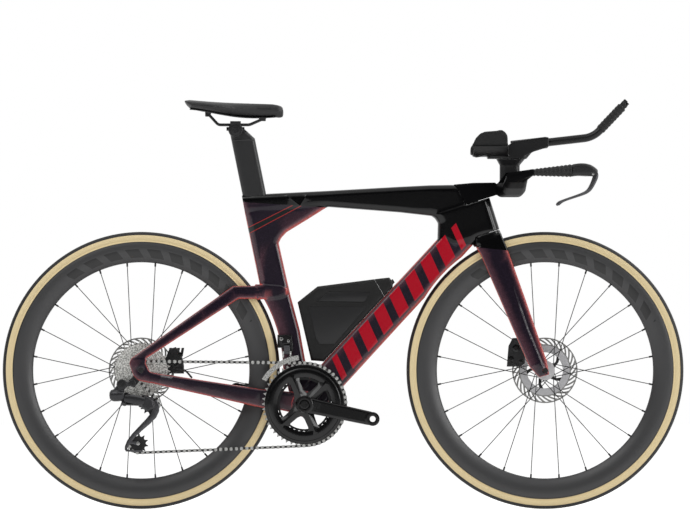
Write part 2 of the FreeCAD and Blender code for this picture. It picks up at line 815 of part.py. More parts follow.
def make_extensions():
    way = extension_axis()
    bend = math.radians(extension_rise + extension_bend)
    tip_way = V(math.cos(bend), 0, math.sin(bend))
    for side, name in ((-1, "right"), (1, "left")):
        a = bar(extension_start[0], extension_start[1], side * extension_y) + way * 4
        corner = a + way * extension_straight
        end = corner + tip_way * extension_tip
        parts["extension_" + name] = pipe([a, corner, end], extension_radius, [extension_bend_radius])
        reach = extension_bend_radius * math.tan(math.radians(extension_bend) / 2)
        grip_low = corner + tip_way * (reach + 2)
        grip = tube(grip_low, end, extension_grip_radius, extension_radius + running_clearance)
        pod_start = end + tip_way * seat_gap
        pod_end = end + tip_way * shifter_pod_length
        pod = cylinder(pod_start, pod_end, shifter_pod_radius)
        floor = pod_end - tip_way * shifter_notch_depth
        under = tip_way.cross(across) * -1
        notch = Part.makeBox(30, 60, 30, V(1.2, -30, 0))
        pod = pod.cut(placed(notch, floor, under, tip_way))
        seat_point = floor + under * shift_button_offset
        pocket_low = seat_point - tip_way * (shift_button_depth + shift_button_room)
        pocket_high = seat_point + tip_way * shifter_notch_depth
        pocket = cylinder(pocket_low, pocket_high, shift_button_radius + running_clearance)
        parts["extension_grip_" + name] = Part.makeCompound([grip, pod.cut(pocket)])
        button_low = seat_point - tip_way * shift_button_depth
        button_end = seat_point + tip_way * shift_button_height
        parts["shift_button_" + name] = cylinder(button_low, button_end, shift_button_radius)


def cup_band(outer, inner, half_angle, y, wall):
    """A band about a fore-and-aft axis, open upwards; its ends run on upwards by the wall's height."""
    centre = V(0, y, 121.3)
    angle = math.radians(half_angle)

    def at(radius, turn):
        return bar(0, centre.z - radius * math.cos(turn), y + radius * math.sin(turn))

    rise = V(0, 0, wall)
    edges = [
        arc(at(outer, -angle), at(outer, 0), at(outer, angle)),
        line(at(outer, angle) + rise, at(inner, angle) + rise),
        arc(at(inner, angle), at(inner, 0), at(inner, -angle)),
        line(at(inner, -angle) + rise, at(outer, -angle) + rise),
    ]
    if wall:
        corners = [at(outer, angle), at(inner, angle), at(inner, -angle), at(outer, -angle)]
        edges += [line(corner, corner + rise) for corner in corners]
    return Part.Face(Part.Wire(Part.__sortEdges__(edges)))


def make_arm_rests():
    cups = []
    pads = []
    pad_outline = [(-87, 60), (-87, 90), (-58, 128), (-56, 131), (-6, 133), (5, 96), (6, 60)]
    for side in (-1, 1):
        y = side * cup_y
        cup = cup_band(cup_radius, cup_radius - cup_wall, cup_half_angle, y, 0)
        cup.translate(V(-81, 0, 0))
        cups.append(cup.extrude(V(86, 0, 0)))
        outer = cup_radius - cup_wall - seat_gap
        pad = cup_band(outer, outer - pad_thickness, pad_half_angle, y, pad_wall)
        pad.translate(V(-87, 0, 0))
        solid = pad.extrude(V(93, 0, 0))
        pads.append(solid.common(prism([bar(x, z) for x, z in pad_outline], -200, 200)).Solids[0])
    parts["arm_cups"] = Part.makeCompound(cups)
    parts["arm_pads"] = Part.makeCompound(pads)


# Brakes

def make_calipers():
    slot_half = rotor_thickness / 2 + 1.6
    outline = [(57, -8), (57, 26), (68, 52), (84, 57), (98, 40), (104, 12), (104, -8)]
    body = prism([rear(x, z) for x, z in outline], rear_rotor_y - 15, rear_rotor_y + 15)
    trim = [e for e in body.Edges if abs(e.BoundBox.YLength) < 0.01]
    body = body.makeFillet(4, trim)
    slot = box(rear(40, -40, rear_rotor_y - slot_half), rear(rotor_radius + 4, 60, rear_rotor_y + slot_half))
    body = body.cut(slot).cut(parts["frame"])
    hose_y = rear_rotor_y + 8
    hose = pipe([rear(99, 4, hose_y), rear(111, -4, hose_y), rear(123, -18, 46)], 2.5, [8])
    hose = hose.cut(body).cut(parts["frame"])
    parts["rear_caliper"] = Part.makeCompound(body.Solids + hose.Solids)
    parts["rear_brake_pads"] = brake_pads(rear(67, 26), rear_rotor_y, slot_half)
    low = front_axle + V(-93, 0, 9)
    outline = [(0, 0), (4, 50), (14, 70), (30, 70), (46, 44), (44, 8), (34, 0)]
    body = prism([low + V(x, 0, z) for x, z in outline], front_rotor_y - 14, front_rotor_y + 14)
    trim = [e for e in body.Edges if abs(e.BoundBox.YLength) < 0.01]
    body = body.makeFillet(4, trim)
    slot = box(front_axle + V(-rotor_radius - 4, front_rotor_y - slot_half, 0),
               front_axle + V(0, front_rotor_y + slot_half, 90))
    body = body.cut(slot).cut(parts["fork"])
    parts["front_caliper"] = max(body.Solids, key=lambda s: s.Volume)
    parts["front_brake_pads"] = brake_pads(front_axle + V(-65, 0, 30), front_rotor_y, slot_half)


def brake_pads(centre, rotor_y, slot_half):
    """Two pads in the caliper's slot, one each side of the rotor."""
    half = rotor_thickness / 2
    pads = []
    for side in (-1, 1):
        near = rotor_y + side * (half + seat_gap)
        far = rotor_y + side * (slot_half - 0.02)
        low = min(near, far)
        pads.append(box(centre + V(-8, low, -8), centre + V(8, low + abs(far - near), 8)))
    return Part.makeCompound(pads)


# Wheels

def rim_shape(axle):
    edge = tyre_seat_radius - seat_gap
    inner = edge - rim_depth
    w = rim_half_width

    def at(y, r):
        return axle + V(0, y, r)

    edges = [line(at(-rim_edge_half_width, edge), at(rim_edge_half_width, edge))]
    edges.append(arc(at(rim_edge_half_width, edge), at(w, edge - 16), at(0.87 * w, edge - 34)))
    edges.append(arc(at(0.87 * w, edge - 34), at(0.56 * w, inner + 4.2), at(0, inner)))
    edges.append(arc(at(0, inner), at(-0.56 * w, inner + 4.2), at(-0.87 * w, edge - 34)))
    edges.append(arc(at(-0.87 * w, edge - 34), at(-w, edge - 16), at(-rim_edge_half_width, edge)))
    return Part.Face(Part.Wire(edges)).revolve(axle, across, 360)


def tyre_shape(axle):
    half = tyre_width / 2
    centre = tyre_outer_radius - half
    foot = math.sqrt(half ** 2 - (centre - tyre_seat_radius) ** 2)

    def at(y, r):
        return axle + V(0, y, r)

    edges = [line(at(foot, tyre_seat_radius), at(-foot, tyre_seat_radius)),
             arc(at(-foot, tyre_seat_radius), at(-half, centre), at(0, tyre_outer_radius)),
             arc(at(0, tyre_outer_radius), at(half, centre), at(foot, tyre_seat_radius))]
    return Part.Face(Part.Wire(edges)).revolve(axle, across, 360)


def spoke_set(axle, right_y, left_y, flange_radius):
    rim_inner = tyre_seat_radius - seat_gap - rim_depth
    step = 360.0 / spoke_count
    spokes = []
    for i in range(spoke_count):
        flange_y = right_y if i % 2 else left_y
        lead = 1 if (i // 2) % 2 else -1
        rim_turn = math.radians((i + 0.5) * step)
        hub_turn = rim_turn + lead * math.radians(spoke_cross_angle)
        side = 1 if flange_y > 0 else -1
        r = rim_inner + 1.5
        outer_point = axle + V(math.cos(rim_turn) * r, side * 1.5, math.sin(rim_turn) * r)
        r = flange_radius - 2.5
        hub_y = flange_y + lead * spoke_side_offset
        inner_point = axle + V(math.cos(hub_turn) * r, hub_y, math.sin(hub_turn) * r)
        way = (inner_point - outer_point).normalize()
        wire = cylinder(inner_point, outer_point, spoke_radius)
        nipple = cylinder(outer_point, outer_point + way * nipple_length, nipple_radius)
        spokes.append(wire.fuse(nipple))
    return Part.makeCompound(spokes)


def hub_shape(axle, profile):
    body = turned(profile, axle, across, V(0, 0, 1))
    return body.cut(cylinder(axle - across * 90, axle + across * 90, axle_radius + running_clearance))


def rotor_shape(axle, y):
    centre = axle + across * (y - rotor_thickness / 2)
    top = centre + across * rotor_thickness
    ring = tube(centre, top, rotor_radius, rotor_radius - rotor_track)
    slots = []
    middle = rotor_radius - rotor_track / 2
    for i in range(rotor_slots):
        slot = Part.makeBox(8.5, 10, 2.4, V(-4.25, -5, -1.2))
        slot.rotate(V(0, 0, 0), across, 50)
        slot.translate(V(middle, 0, 0))
        slot.rotate(V(0, 0, 0), across, 360.0 * i / rotor_slots)
        slot.translate(axle + across * y)
        slots.append(slot)
    ring = ring.cut(Part.makeCompound(slots))
    pieces = [ring, tube(centre, top, rotor_boss_radius + 8, rotor_boss_radius + running_clearance)]
    for i in range(rotor_arms):
        arm = Part.makeBox(rotor_radius - rotor_track - rotor_boss_radius - 2, rotor_thickness, 7,
                           V(rotor_boss_radius + 4, -rotor_thickness / 2, -3.5))
        arm.rotate(V(rotor_radius - rotor_track, 0, 0), across, 14)
        arm.rotate(V(0, 0, 0), across, 360.0 * i / rotor_arms)
        arm.translate(axle + across * y)
        pieces.append(arm)
    return fuse(pieces)


def make_wheel(name, axle, half, right_y, left_y, flange_radius, rotor_y):
    profile = hub_profile(-half, right_y, left_y, half, flange_radius, rotor_y)
    parts[name + "_tyre"] = tyre_shape(axle)
    parts[name + "_rim"] = rim_shape(axle)
    parts[name + "_spokes"] = spoke_set(axle, right_y, left_y, flange_radius)
    parts[name + "_hub"] = hub_shape(axle, profile)
    parts[name + "_rotor"] = rotor_shape(axle, rotor_y)


def hub_profile(right_end, right_y, left_y, left_end, flange_radius, rotor_y):
    """Points along the axle: caps, two flanges, the shell between them and the rotor's seat."""
    t = flange_thickness / 2 + 1.4
    cap = hub_cap_radius
    boss = rotor_boss_radius
    neck = right_y - t - 3.4
    return [(right_end, 0), (right_end, cap), (neck, cap), (neck, flange_radius - 7),
            (right_y - t, flange_radius - 7), (right_y - t, flange_radius), (right_y + t, flange_radius),
            (right_y + t, hub_shell_radius), (left_y - t, hub_shell_radius), (left_y - t, flange_radius),
            (left_y + t, flange_radius), (left_y + t, boss), (rotor_y + 3, boss), (rotor_y + 3, cap),
            (left_end, cap), (left_end, 0)]


def make_wheels():
    make_wheel("front", front_axle, front_hub_width / 2, -front_flange_y, front_flange_y,
               front_flange_radius, front_rotor_y)
    make_wheel("rear", rear_axle, rear_hub_width / 2 - 0.1, rear_flange_right_y, rear_flange_left_y,
               rear_flange_radius, rear_rotor_y)


# Chain path

def pitch_radius(teeth):
    return chain_pitch / (2 * math.sin(math.pi / teeth))


def tangent(c1, r1, turn1, c2, r2, turn2):
    """Start and end of the straight run from one turning wheel to the next; turn is 1 for anticlockwise."""
    dx = c2[0] - c1[0]
    dz = c2[1] - c1[1]
    heading = math.atan2(dz, dx) - math.asin((turn2 * r2 - turn1 * r1) / math.hypot(dx, dz))
    nx = -math.sin(heading)
    nz = math.cos(heading)
    start = (c1[0] - turn1 * r1 * nx, c1[1] - turn1 * r1 * nz)
    return start, (c2[0] - turn2 * r2 * nx, c2[1] - turn2 * r2 * nz)


def guide_centre():
    return (rear_axle.x + guide_dx, rear_axle.z + guide_dz)


def tension_centre(angle):
    x, z = guide_centre()
    turn = math.radians(angle)
    return (x + cage_length * math.cos(turn), z + cage_length * math.sin(turn))


def chain_loop(angle):
    """The runs and wraps of the chain, in order, with their lengths."""
    wheels = [
        ((bracket.x, bracket.z), ring_teeth, -1, ring_y),
        (tension_centre(angle), pulley_teeth, -1, cog_y),
        (guide_centre(), pulley_teeth, 1, cog_y),
        ((rear_axle.x, rear_axle.z), cog_teeth[0], -1, cog_y),
    ]
    runs = []
    for i, (c1, n1, t1, y1) in enumerate(wheels):
        c2, n2, t2, y2 = wheels[(i + 1) % 4]
        runs.append(tangent(c1, pitch_radius(n1), t1, c2, pitch_radius(n2), t2))
    loop = []
    for i, (c, n, t, y) in enumerate(wheels):
        arrive = runs[i - 1][1]
        leave = runs[i][0]
        a0 = math.atan2(arrive[1] - c[1], arrive[0] - c[0])
        a1 = math.atan2(leave[1] - c[1], leave[0] - c[0])
        sweep = (a1 - a0) * t % (2 * math.pi)
        loop.append(("wrap", c, n, t, a0, sweep, y, sweep * n * chain_pitch / (2 * math.pi)))
        y_next = wheels[(i + 1) % 4][3]
        length = math.hypot(runs[i][1][0] - leave[0], runs[i][1][1] - leave[1])
        loop.append(("run", leave, runs[i][1], y, y_next, length))
    return loop


def loop_length(angle):
    return sum(piece[-1] for piece in chain_loop(angle))


def settled_cage_angle():
    """The cage angle near its photographed place at which the chain has a whole, even number of links."""
    target = 2 * round(loop_length(cage_angle) / (2 * chain_pitch)) * chain_pitch
    low = cage_angle - 25
    high = cage_angle + 25
    rising = loop_length(high) > loop_length(low)
    for _ in range(50):
        middle = (low + high) / 2
        if (loop_length(middle) > target) == rising:
            high = middle
        else:
            low = middle
    return (low + high) / 2


def chain_point(loop, distance):
    for piece in loop:
        if distance > piece[-1]:
            distance -= piece[-1]
            continue
        part = distance / piece[-1]
        if piece[0] == "wrap":
            _, c, n, t, a0, sweep, y, _ = piece
            a = a0 + t * sweep * part
            r = pitch_radius(n)
            return V(c[0] + r * math.cos(a), y, c[1] + r * math.sin(a))
        _, a, b, y1, y2, _ = piece
        ease = part * part * (3 - 2 * part)
        return V(a[0] + (b[0] - a[0]) * part, y1 + (y2 - y1) * ease, a[1] + (b[1] - a[1]) * part)
    return chain_point(loop, 0.0)


rest_cage_angle = settled_cage_angle()
rest_loop = chain_loop(rest_cage_angle)
link_count = round(loop_length(rest_cage_angle) / chain_pitch)
rollers = [chain_point(rest_loop, i * chain_pitch) for i in range(link_count)]


def tooth_phase(centre_x, centre_z, y, radius):
    """The angle of a roller that is seated on a sprocket."""
    def misfit(p):
        return abs(math.hypot(p.x - centre_x, p.z - centre_z) - radius) + 5 * abs(p.y - y)

    best = min(rollers, key=misfit)
    return math.atan2(best.z - centre_z, best.x - centre_x)


def plate_outline(y_low, y_high):
    h = plate_height / 2
    p = chain_pitch
    edges = [line(V(0, y_low, -h), V(p, y_low, -h)), arc(V(p, y_low, -h), V(p + h, y_low, 0), V(p, y_low, h)),
             line(V(p, y_low, h), V(0, y_low, h)), arc(V(0, y_low, h), V(-h, y_low, 0), V(0, y_low, -h))]
    return Part.Face(Part.Wire(edges)).extrude(V(0, y_high - y_low, 0))


def chain_link(plate_in, plate_out, core_radius, bore_radius):
    pieces = [plate_outline(plate_in, plate_out), plate_outline(-plate_out, -plate_in)]
    holes = []
    for x in (0, chain_pitch):
        pieces.append(cylinder(V(x, -plate_out, 0), V(x, plate_out, 0), core_radius))
        if bore_radius:
            holes.append(cylinder(V(x, -plate_out - 1, 0), V(x, plate_out + 1, 0), bore_radius))
    body = fuse(pieces)
    return body.cut(holes) if holes else body


def make_chain():
    inner = chain_link(inner_plate_in, inner_plate_out, roller_radius, chain_pin_radius + 0.15)
    outer = chain_link(outer_plate_in, outer_plate_out, chain_pin_radius, 0)
    links = []
    for i, a in enumerate(rollers):
        b = rollers[(i + 1) % link_count]
        x_axis = (b - a).normalize()
        z_axis = x_axis.cross(across).normalize()
        middle = (a + b) * 0.5 - x_axis * (chain_pitch / 2)
        links.append(placed(inner if i % 2 else outer, middle, x_axis, z_axis))
    parts["chain"] = Part.makeCompound(links)


def sprocket_face(teeth, phase, y):
    """A toothed disc about the world's y axis: a round seat for each roller and flat-topped teeth."""
    r = pitch_radius(teeth)
    seat_radius = roller_radius + roller_seat_clearance
    tip = r + tooth_rise
    step = 2 * math.pi / teeth
    edges = []
    first = None
    last = None
    for i in range(teeth):
        a = phase + i * step
        mid = a + step / 2
        centre = V(r * math.cos(a), y, r * math.sin(a))
        start, low, end = (centre - V(math.cos(a + turn), 0, math.sin(a + turn)) * seat_radius
                           for turn in (seat_half_turn, 0, -seat_half_turn))
        tip_half = tooth_tip_half / tip
        tip_a = V(tip * math.cos(mid - tip_half), y, tip * math.sin(mid - tip_half))
        tip_b = V(tip * math.cos(mid + tip_half), y, tip * math.sin(mid + tip_half))
        if last is None:
            first = start
        else:
            edges.append(line(last, start))
        edges += [arc(start, low, end), line(end, tip_a), line(tip_a, tip_b)]
        last = tip_b
    edges.append(line(last, first))
    return Part.Face(Part.Wire(edges))


def sprocket(teeth, phase, y, thickness):
    return sprocket_face(teeth, phase, y - thickness / 2).extrude(V(0, thickness, 0))


def make_cassette():
    pieces = []
    phase = tooth_phase(rear_axle.x, rear_axle.z, cog_y, pitch_radius(cog_teeth[0]))
    for i, teeth in enumerate(cog_teeth):
        pieces.append(sprocket(teeth, phase, cog_y + i * cog_spacing, sprocket_thickness))
    last = cog_y + (len(cog_teeth) - 1) * cog_spacing
    pieces.append(cylinder(V(0, cog_y - 2.2, 0), V(0, last + 1, 0), carrier_radius))
    body = fuse(pieces)
    body.translate(rear_axle)
    bore = cylinder(rear_axle - across * 90, rear_axle, hub_cap_radius + running_clearance)
    parts["cassette"] = body.cut(bore)


def ring_bolt_points(y):
    points = []
    for turn in spider_angles:
        a = math.radians(crank_angle + turn)
        points.append(V(ring_bolt_circle * math.cos(a), y, ring_bolt_circle * math.sin(a)))
    return points


def ring_bolt_holes():
    radius = ring_bolt_radius + running_clearance
    return [cylinder(p, p + V(0, 30, 0), radius) for p in ring_bolt_points(ring_y - 8)]


def ring_tabs(y_low, y_high, reach):
    """Four ears that carry a ring's bolts."""
    tabs = []
    for turn in spider_angles:
        start = ring_bolt_circle - 8
        tab = Part.makeBox(reach - start, y_high - y_low, 24, V(start, y_low, -12))
        tab.rotate(V(0, 0, 0), across, -(crank_angle + turn))
        tabs.append(tab)
    return tabs


def make_chainrings():
    phase = tooth_phase(bracket.x, bracket.z, ring_y, pitch_radius(ring_teeth))
    rings = []
    for teeth, y, inner, thick in ((ring_teeth, ring_y, ring_inner_radius, 3.4),
                                   (small_ring_teeth, small_ring_y, 60.0, 2.0)):
        disc = sprocket(teeth, phase, y, sprocket_thickness)
        band = cylinder(V(0, y - thick / 2, 0), V(0, y + thick / 2, 0), pitch_radius(teeth) - 7)
        hole = cylinder(V(0, y - 5, 0), V(0, y + 5, 0), inner)
        body = disc.fuse(band).cut(hole)
        body = fuse([body] + ring_tabs(y - thick / 2, y + thick / 2, inner + 3)).cut(ring_bolt_holes())
        rings.append(body)
    bolts = []
    for p in ring_bolt_points(ring_y - 2.6):
        bolts.append(cylinder(p, p + V(0, 8.4, 0), ring_bolt_radius))
    group = Part.makeCompound(rings + bolts)
    group.translate(bracket)
    parts["chainrings"] = group


def crank_arm(side, turn):
    """An arm along +X at the crank's centre, turned into place; side is -1 on the right."""
    outer = arm_outer_y
    root_outer = outer - 3.5
    stations = [(-1, arm_root_width, root_outer, 17), (40, arm_root_width - 2, root_outer, 15),
                (crank_length - 6, arm_tip_width, outer, arm_thickness)]
    wires = []
    for x, width, face, thick in stations:
        inner = V(x, side * (face - thick), 0)
        wires.append(rounded_wire(inner, V(0, side, 0), V(0, 0, 1), thick, width / 2, 5))
    blade = loft(wires)
    tip_inner = V(crank_length, side * (outer - arm_thickness), 0)
    tip = cylinder(tip_inner, V(crank_length, side * outer, 0), arm_tip_width / 2)
    boss = cylinder(V(0, side * (outer - 21), 0), V(0, side * (outer - 1.5), 0), arm_root_width / 2)
    pedal = cylinder(V(crank_length, -100, 0), V(crank_length, 100, 0), pedal_thread_radius)
    body = fuse([blade, tip, boss]).cut(pedal)
    body.rotate(V(0, 0, 0), across, -turn)
    return body


def make_cranks():
    right = crank_arm(-1, crank_angle)
    spider_low = ring_y + 1.7 + 0.05
    spider_high = small_ring_y - 1.0 - 0.05
    root_high = -bracket_shell_width / 2 - 2 * seat_gap
    root_low = ring_y - 4
    pieces = [right, cylinder(V(0, -60, 0), V(0, root_high, 0), 22)]
    for turn in spider_angles:
        root = Part.makeBox(ring_bolt_circle - 9, root_high - root_low, 20, V(0, root_low, -10))
        start = V(bracket_shell_radius + 3, spider_low, -10)
        ear = Part.makeBox(ring_bolt_circle + 7 - start.x, spider_high - spider_low, 20, start)
        for piece in (root, ear):
            piece.rotate(V(0, 0, 0), across, -(crank_angle + turn))
            pieces.append(piece)
    body = fuse(pieces)
    bore = cylinder(V(0, -arm_outer_y - 5, 0), V(0, 0, 0), spindle_radius + running_clearance)
    body = body.cut(ring_bolt_holes() + [bore])
    body.translate(bracket)
    parts["crank_arm_right"] = body
    left = crank_arm(1, crank_angle + 180)
    spindle = cylinder(V(0, -arm_outer_y + 4, 0), V(0, arm_outer_y - 4, 0), spindle_radius)
    left = left.fuse(spindle)
    left.translate(bracket)
    parts["crank_arm_left"] = left


# Rear derailleur

def link_axes():
    """The links' swing axis, their direction at mid travel and the way that the cage moves."""
    tilt = math.radians(link_tilt)
    slant = math.radians(link_slant)
    along = V(math.cos(tilt), 0, -math.sin(tilt))
    axis = V(math.cos(slant) * math.sin(tilt), math.sin(slant), math.cos(slant) * math.cos(tilt))
    return axis, along, axis.cross(along)


link_axis, link_along, link_move = link_axes()
rest = math.radians(link_rest_angle)
link_rest = link_along * math.cos(rest) - link_move * math.sin(rest)
outer_base = rear(link_base[0], link_base[2], link_base[1])
inner_base = outer_base + link_move * link_spacing


def clevis(length, block):
    """Two plates with two pins, made about the midpoint of the pins; the block joins them on the far side."""
    half = link_height / 2 + seat_gap
    high = half + lug_thickness
    side = link_spacing / 2 + 6
    pieces = []
    for low in (half, -high):
        pieces.append(Part.makeBox(length + 6, 2 * side, lug_thickness, V(-6, -side, low)))
    pieces.append(Part.makeBox(block, 2 * side, 2 * high, V(length, -side, -high)))
    for y in (-link_spacing / 2, link_spacing / 2):
        pieces.append(Part.makeCylinder(pivot_pin_radius, 2 * half + 1, V(0, y, -half - 0.5)))
    return fuse(pieces)


def mech_link(base):
    """A link bar with a bored barrel at each end."""
    half = link_height / 2
    bar_half = link_thickness / 2
    bore_radius = pivot_pin_radius + running_clearance
    pieces = [Part.makeBox(link_length, 2 * bar_half, link_height, V(0, -bar_half, -half))]
    bores = []
    for x in (0, link_length):
        pieces.append(Part.makeCylinder(bar_half + 1, link_height, V(x, 0, -half)))
        bores.append(Part.makeCylinder(bore_radius, link_height + 4, V(x, 0, -half - 2)))
    body = fuse(pieces).cut(bores)
    return placed(body, base, link_rest, link_axis)


def make_rear_mech():
    middle = outer_base + link_move * (link_spacing / 2)
    knuckle = placed(clevis(13, 15), middle, link_along * -1, link_axis)
    hanger_bolt = rear(-20.6, -30.6)
    b_axle = rear(-47.1, -34.7)
    low = -dropout_inner_y - dropout_thickness
    barrel = cylinder(b_axle + across * (low - 14), b_axle + across * (low + 16), 12.4)
    sides = [hanger_bolt + V(0, 0, 8), b_axle + V(0, 0, 11), b_axle - V(0, 0, 11), hanger_bolt - V(0, 0, 8)]
    bridge = prism(sides, low - 9, low - seat_gap)
    bolt = cylinder(hanger_bolt + across * (low - 11), hanger_bolt + across * (low + 7), hanger_bolt_radius)
    boss = cylinder(hanger_bolt + across * (low - 9), hanger_bolt + across * (low - seat_gap), 8.0)
    motor = box(rear(-76, -79, low - 10), rear(-55, -40, low + 16))
    parts["rd_knuckle"] = fuse([knuckle, barrel, bridge, bolt, boss, motor])
    outline = [(-8.9, -22.9), (-17.9, -14.2), (-30, -24), (-30, -38), (-16, -41), (-4, -26)]
    hanger = prism([rear(x, z) for x, z in outline], low, low + dropout_thickness - 2)
    hole = cylinder(hanger_bolt + across * (low - 5), hanger_bolt + across * (low + 12),
                    hanger_bolt_radius + running_clearance)
    parts["derailleur_hanger"] = hanger.cut(hole).cut(parts["frame"])
    parts["rd_outer_link"] = mech_link(outer_base)
    parts["rd_inner_link"] = mech_link(inner_base)
    make_pulley_knuckle(middle + link_rest * link_length)
    make_cage()


def make_pulley_knuckle(middle):
    x, z = guide_centre()
    outer = cog_y - cage_plate_gap - cage_plate_thickness - seat_gap
    head_part = placed(clevis(11, 12), middle, link_along, link_axis)
    head_part = head_part.cut(box(V(x - 60, outer, z - 60), V(x + 60, 0, z + 60)))
    boss = cylinder(V(x, outer - 16, z), V(x, outer, z), 13)
    pin = cylinder(V(x, outer - 16, z), V(x, cog_y + cage_plate_gap + 2, z), pulley_bore_radius)
    parts["rd_p_knuckle"] = fuse([head_part, boss, pin])


def cage_plate(y, guide, tension):
    way = V(tension[0] - guide[0], 0, tension[1] - guide[1]).normalize()
    side = V(-way.z, 0, way.x)
    top = V(guide[0], 0, guide[1])
    low = V(tension[0], 0, tension[1])
    far = y + cage_plate_thickness
    web = prism([top + side * 12, low + side * 9, low - side * 9, top - side * 12], y, far)
    upper_end = cylinder(top + across * y, top + across * far, 13)
    lower_end = cylinder(low + across * y, low + across * far, 11)
    return fuse([web, upper_end, lower_end])


def make_cage():
    guide = guide_centre()
    tension = tension_centre(rest_cage_angle)
    outer_y = cog_y - cage_plate_gap - cage_plate_thickness
    curved = prism([rear(x, z) for x, z in cage_outline], outer_y, outer_y + cage_plate_thickness)
    plates = [cage_plate(outer_y, guide, tension), curved, cage_plate(cog_y + cage_plate_gap, guide, tension)]
    low = cog_y - cage_plate_gap - 1
    high = cog_y + cage_plate_gap + 1
    pin = cylinder(V(tension[0], low, tension[1]), V(tension[0], high, tension[1]), pulley_bore_radius)
    bore_radius = pulley_bore_radius + running_clearance
    bore = cylinder(V(guide[0], -100, guide[1]), V(guide[0], 0, guide[1]), bore_radius)
    parts["rd_cage"] = fuse(plates + [pin]).cut(bore)
    for name, centre in (("guide_pulley", guide), ("tension_pulley", tension)):
        phase = tooth_phase(centre[0], centre[1], cog_y, pitch_radius(pulley_teeth))
        disc = sprocket(pulley_teeth, phase, 0, sprocket_thickness)
        hub = cylinder(V(0, -cage_plate_gap + seat_gap, 0), V(0, cage_plate_gap - seat_gap, 0), 8)
        disc = disc.fuse(hub)
        disc.translate(V(centre[0], cog_y, centre[1]))
        hole = cylinder(V(centre[0], -100, centre[1]), V(centre[0], 0, centre[1]), bore_radius)
        parts[name] = disc.cut(hole)


# Front derailleur

def arc_plate(inner, outer, start, end, y, thickness):
    def at(radius, turn):
        a = math.radians(turn)
        return V(radius * math.cos(a), y, radius * math.sin(a))

    middle = (start + end) / 2
    edges = [arc(at(outer, start), at(outer, middle), at(outer, end)),
             line(at(outer, end), at(inner, end)),
             arc(at(inner, end), at(inner, middle), at(inner, start)),
             line(at(inner, start), at(outer, start))]
    return Part.Face(Part.Wire(edges)).extrude(V(0, thickness, 0))


def make_front_mech():
    pivot = from_bracket(-mech_pivot_back, mech_pivot_up, mech_pivot_y)
    swing = math.radians(mech_link_angle)
    lower = pivot + V(0, -math.sin(swing), -math.cos(swing)) * mech_link_length
    forward = V(1, 0, 0)
    half = 7.0
    seat_face = -seat_tube_half_width - 0.9
    low = from_bracket(-66, mech_pivot_up - 5, mech_pivot_y - 5)
    block = box(low, from_bracket(-30, mech_pivot_up + 27, seat_face))
    block = block.cut(box(pivot + V(-half - seat_gap, -20, -20), pivot + V(half + seat_gap, 9, 9)))
    ears = [cylinder(pivot - forward * (half + 7), pivot - forward * (half + seat_gap), 5),
            cylinder(pivot + forward * (half + seat_gap), pivot + forward * (half + 7), 5)]
    pin = cylinder(pivot - forward * (half + 4), pivot + forward * (half + 4), 2)
    tab = box(from_bracket(-42, mech_pivot_up - 14, -30), from_bracket(-28, mech_pivot_up + 6, seat_face))
    parts["fd_body"] = fuse([block, pin, tab] + ears).cut(parts["frame"])
    bores = [cylinder(p - forward * 30, p + forward * 30, 2 + running_clearance) for p in (pivot, lower)]
    barrels = [cylinder(p - forward * half, p + forward * half, 4) for p in (pivot, lower)]
    way = (lower - pivot).normalize()
    side = way.cross(forward)
    web = rounded_wire(pivot - forward * half, forward, side, 2 * half, 2.5, 1)
    web = Part.Face(web).extrude(way * mech_link_length)
    parts["fd_link"] = fuse([web] + barrels).cut(bores)
    make_front_cage(lower, forward, half)


def make_front_cage(lower, forward, half):
    inner = mech_cage_inner_radius
    outer = mech_cage_outer_radius
    t = mech_plate_thickness
    low = mech_outer_plate_y - t
    width = mech_inner_plate_y - mech_outer_plate_y + 2 * t
    plates = [arc_plate(inner, outer, 97, 149, low, t),
              arc_plate(inner, outer, 97, 149, mech_inner_plate_y, t),
              arc_plate(outer - t, outer, 100, 112, low, width),
              arc_plate(inner + 4, outer - 4, 146, 149, low, width)]
    for plate in plates:
        plate.translate(bracket)
    lugs = []
    for x in (-half - 4, half + seat_gap):
        centre = lower + forward * x
        lugs.append(cylinder(centre, centre + forward * (4 - seat_gap), 4))
        lugs.append(box(centre + V(0, -3, -12), centre + V(4 - seat_gap, 3, 0)))
    pin = cylinder(lower - forward * (half + 2), lower + forward * (half + 2), 2)
    parts["fd_cage"] = fuse(plates + lugs + [pin])


make_frame_group()
make_storage_box()
make_seatpost()
make_saddle_clamp()
make_saddle()
make_fork()
make_stem()
make_bars()
make_riser()
make_bridge()
make_extensions()
make_arm_rests()
make_calipers()
make_wheels()
make_chain()
make_cassette()
make_chainrings()
make_cranks()
make_rear_mech()
make_front_mech()

os.makedirs("parts", exist_ok=True)
for name, shape in parts.items():
    solids(shape).exportStep("parts/" + name + ".step")
    print(name, len(shape.Solids), round(shape.Volume), shape.isValid())
print("chain links", link_count, "cage angle", round(rest_cage_angle, 2))
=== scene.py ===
# Looks of a time trial bike: a painted carbon frame on deep rims, seen from its drive side.
import math

import bmesh
import bpy
from mathutils import Matrix, Vector, bvhtree, kdtree


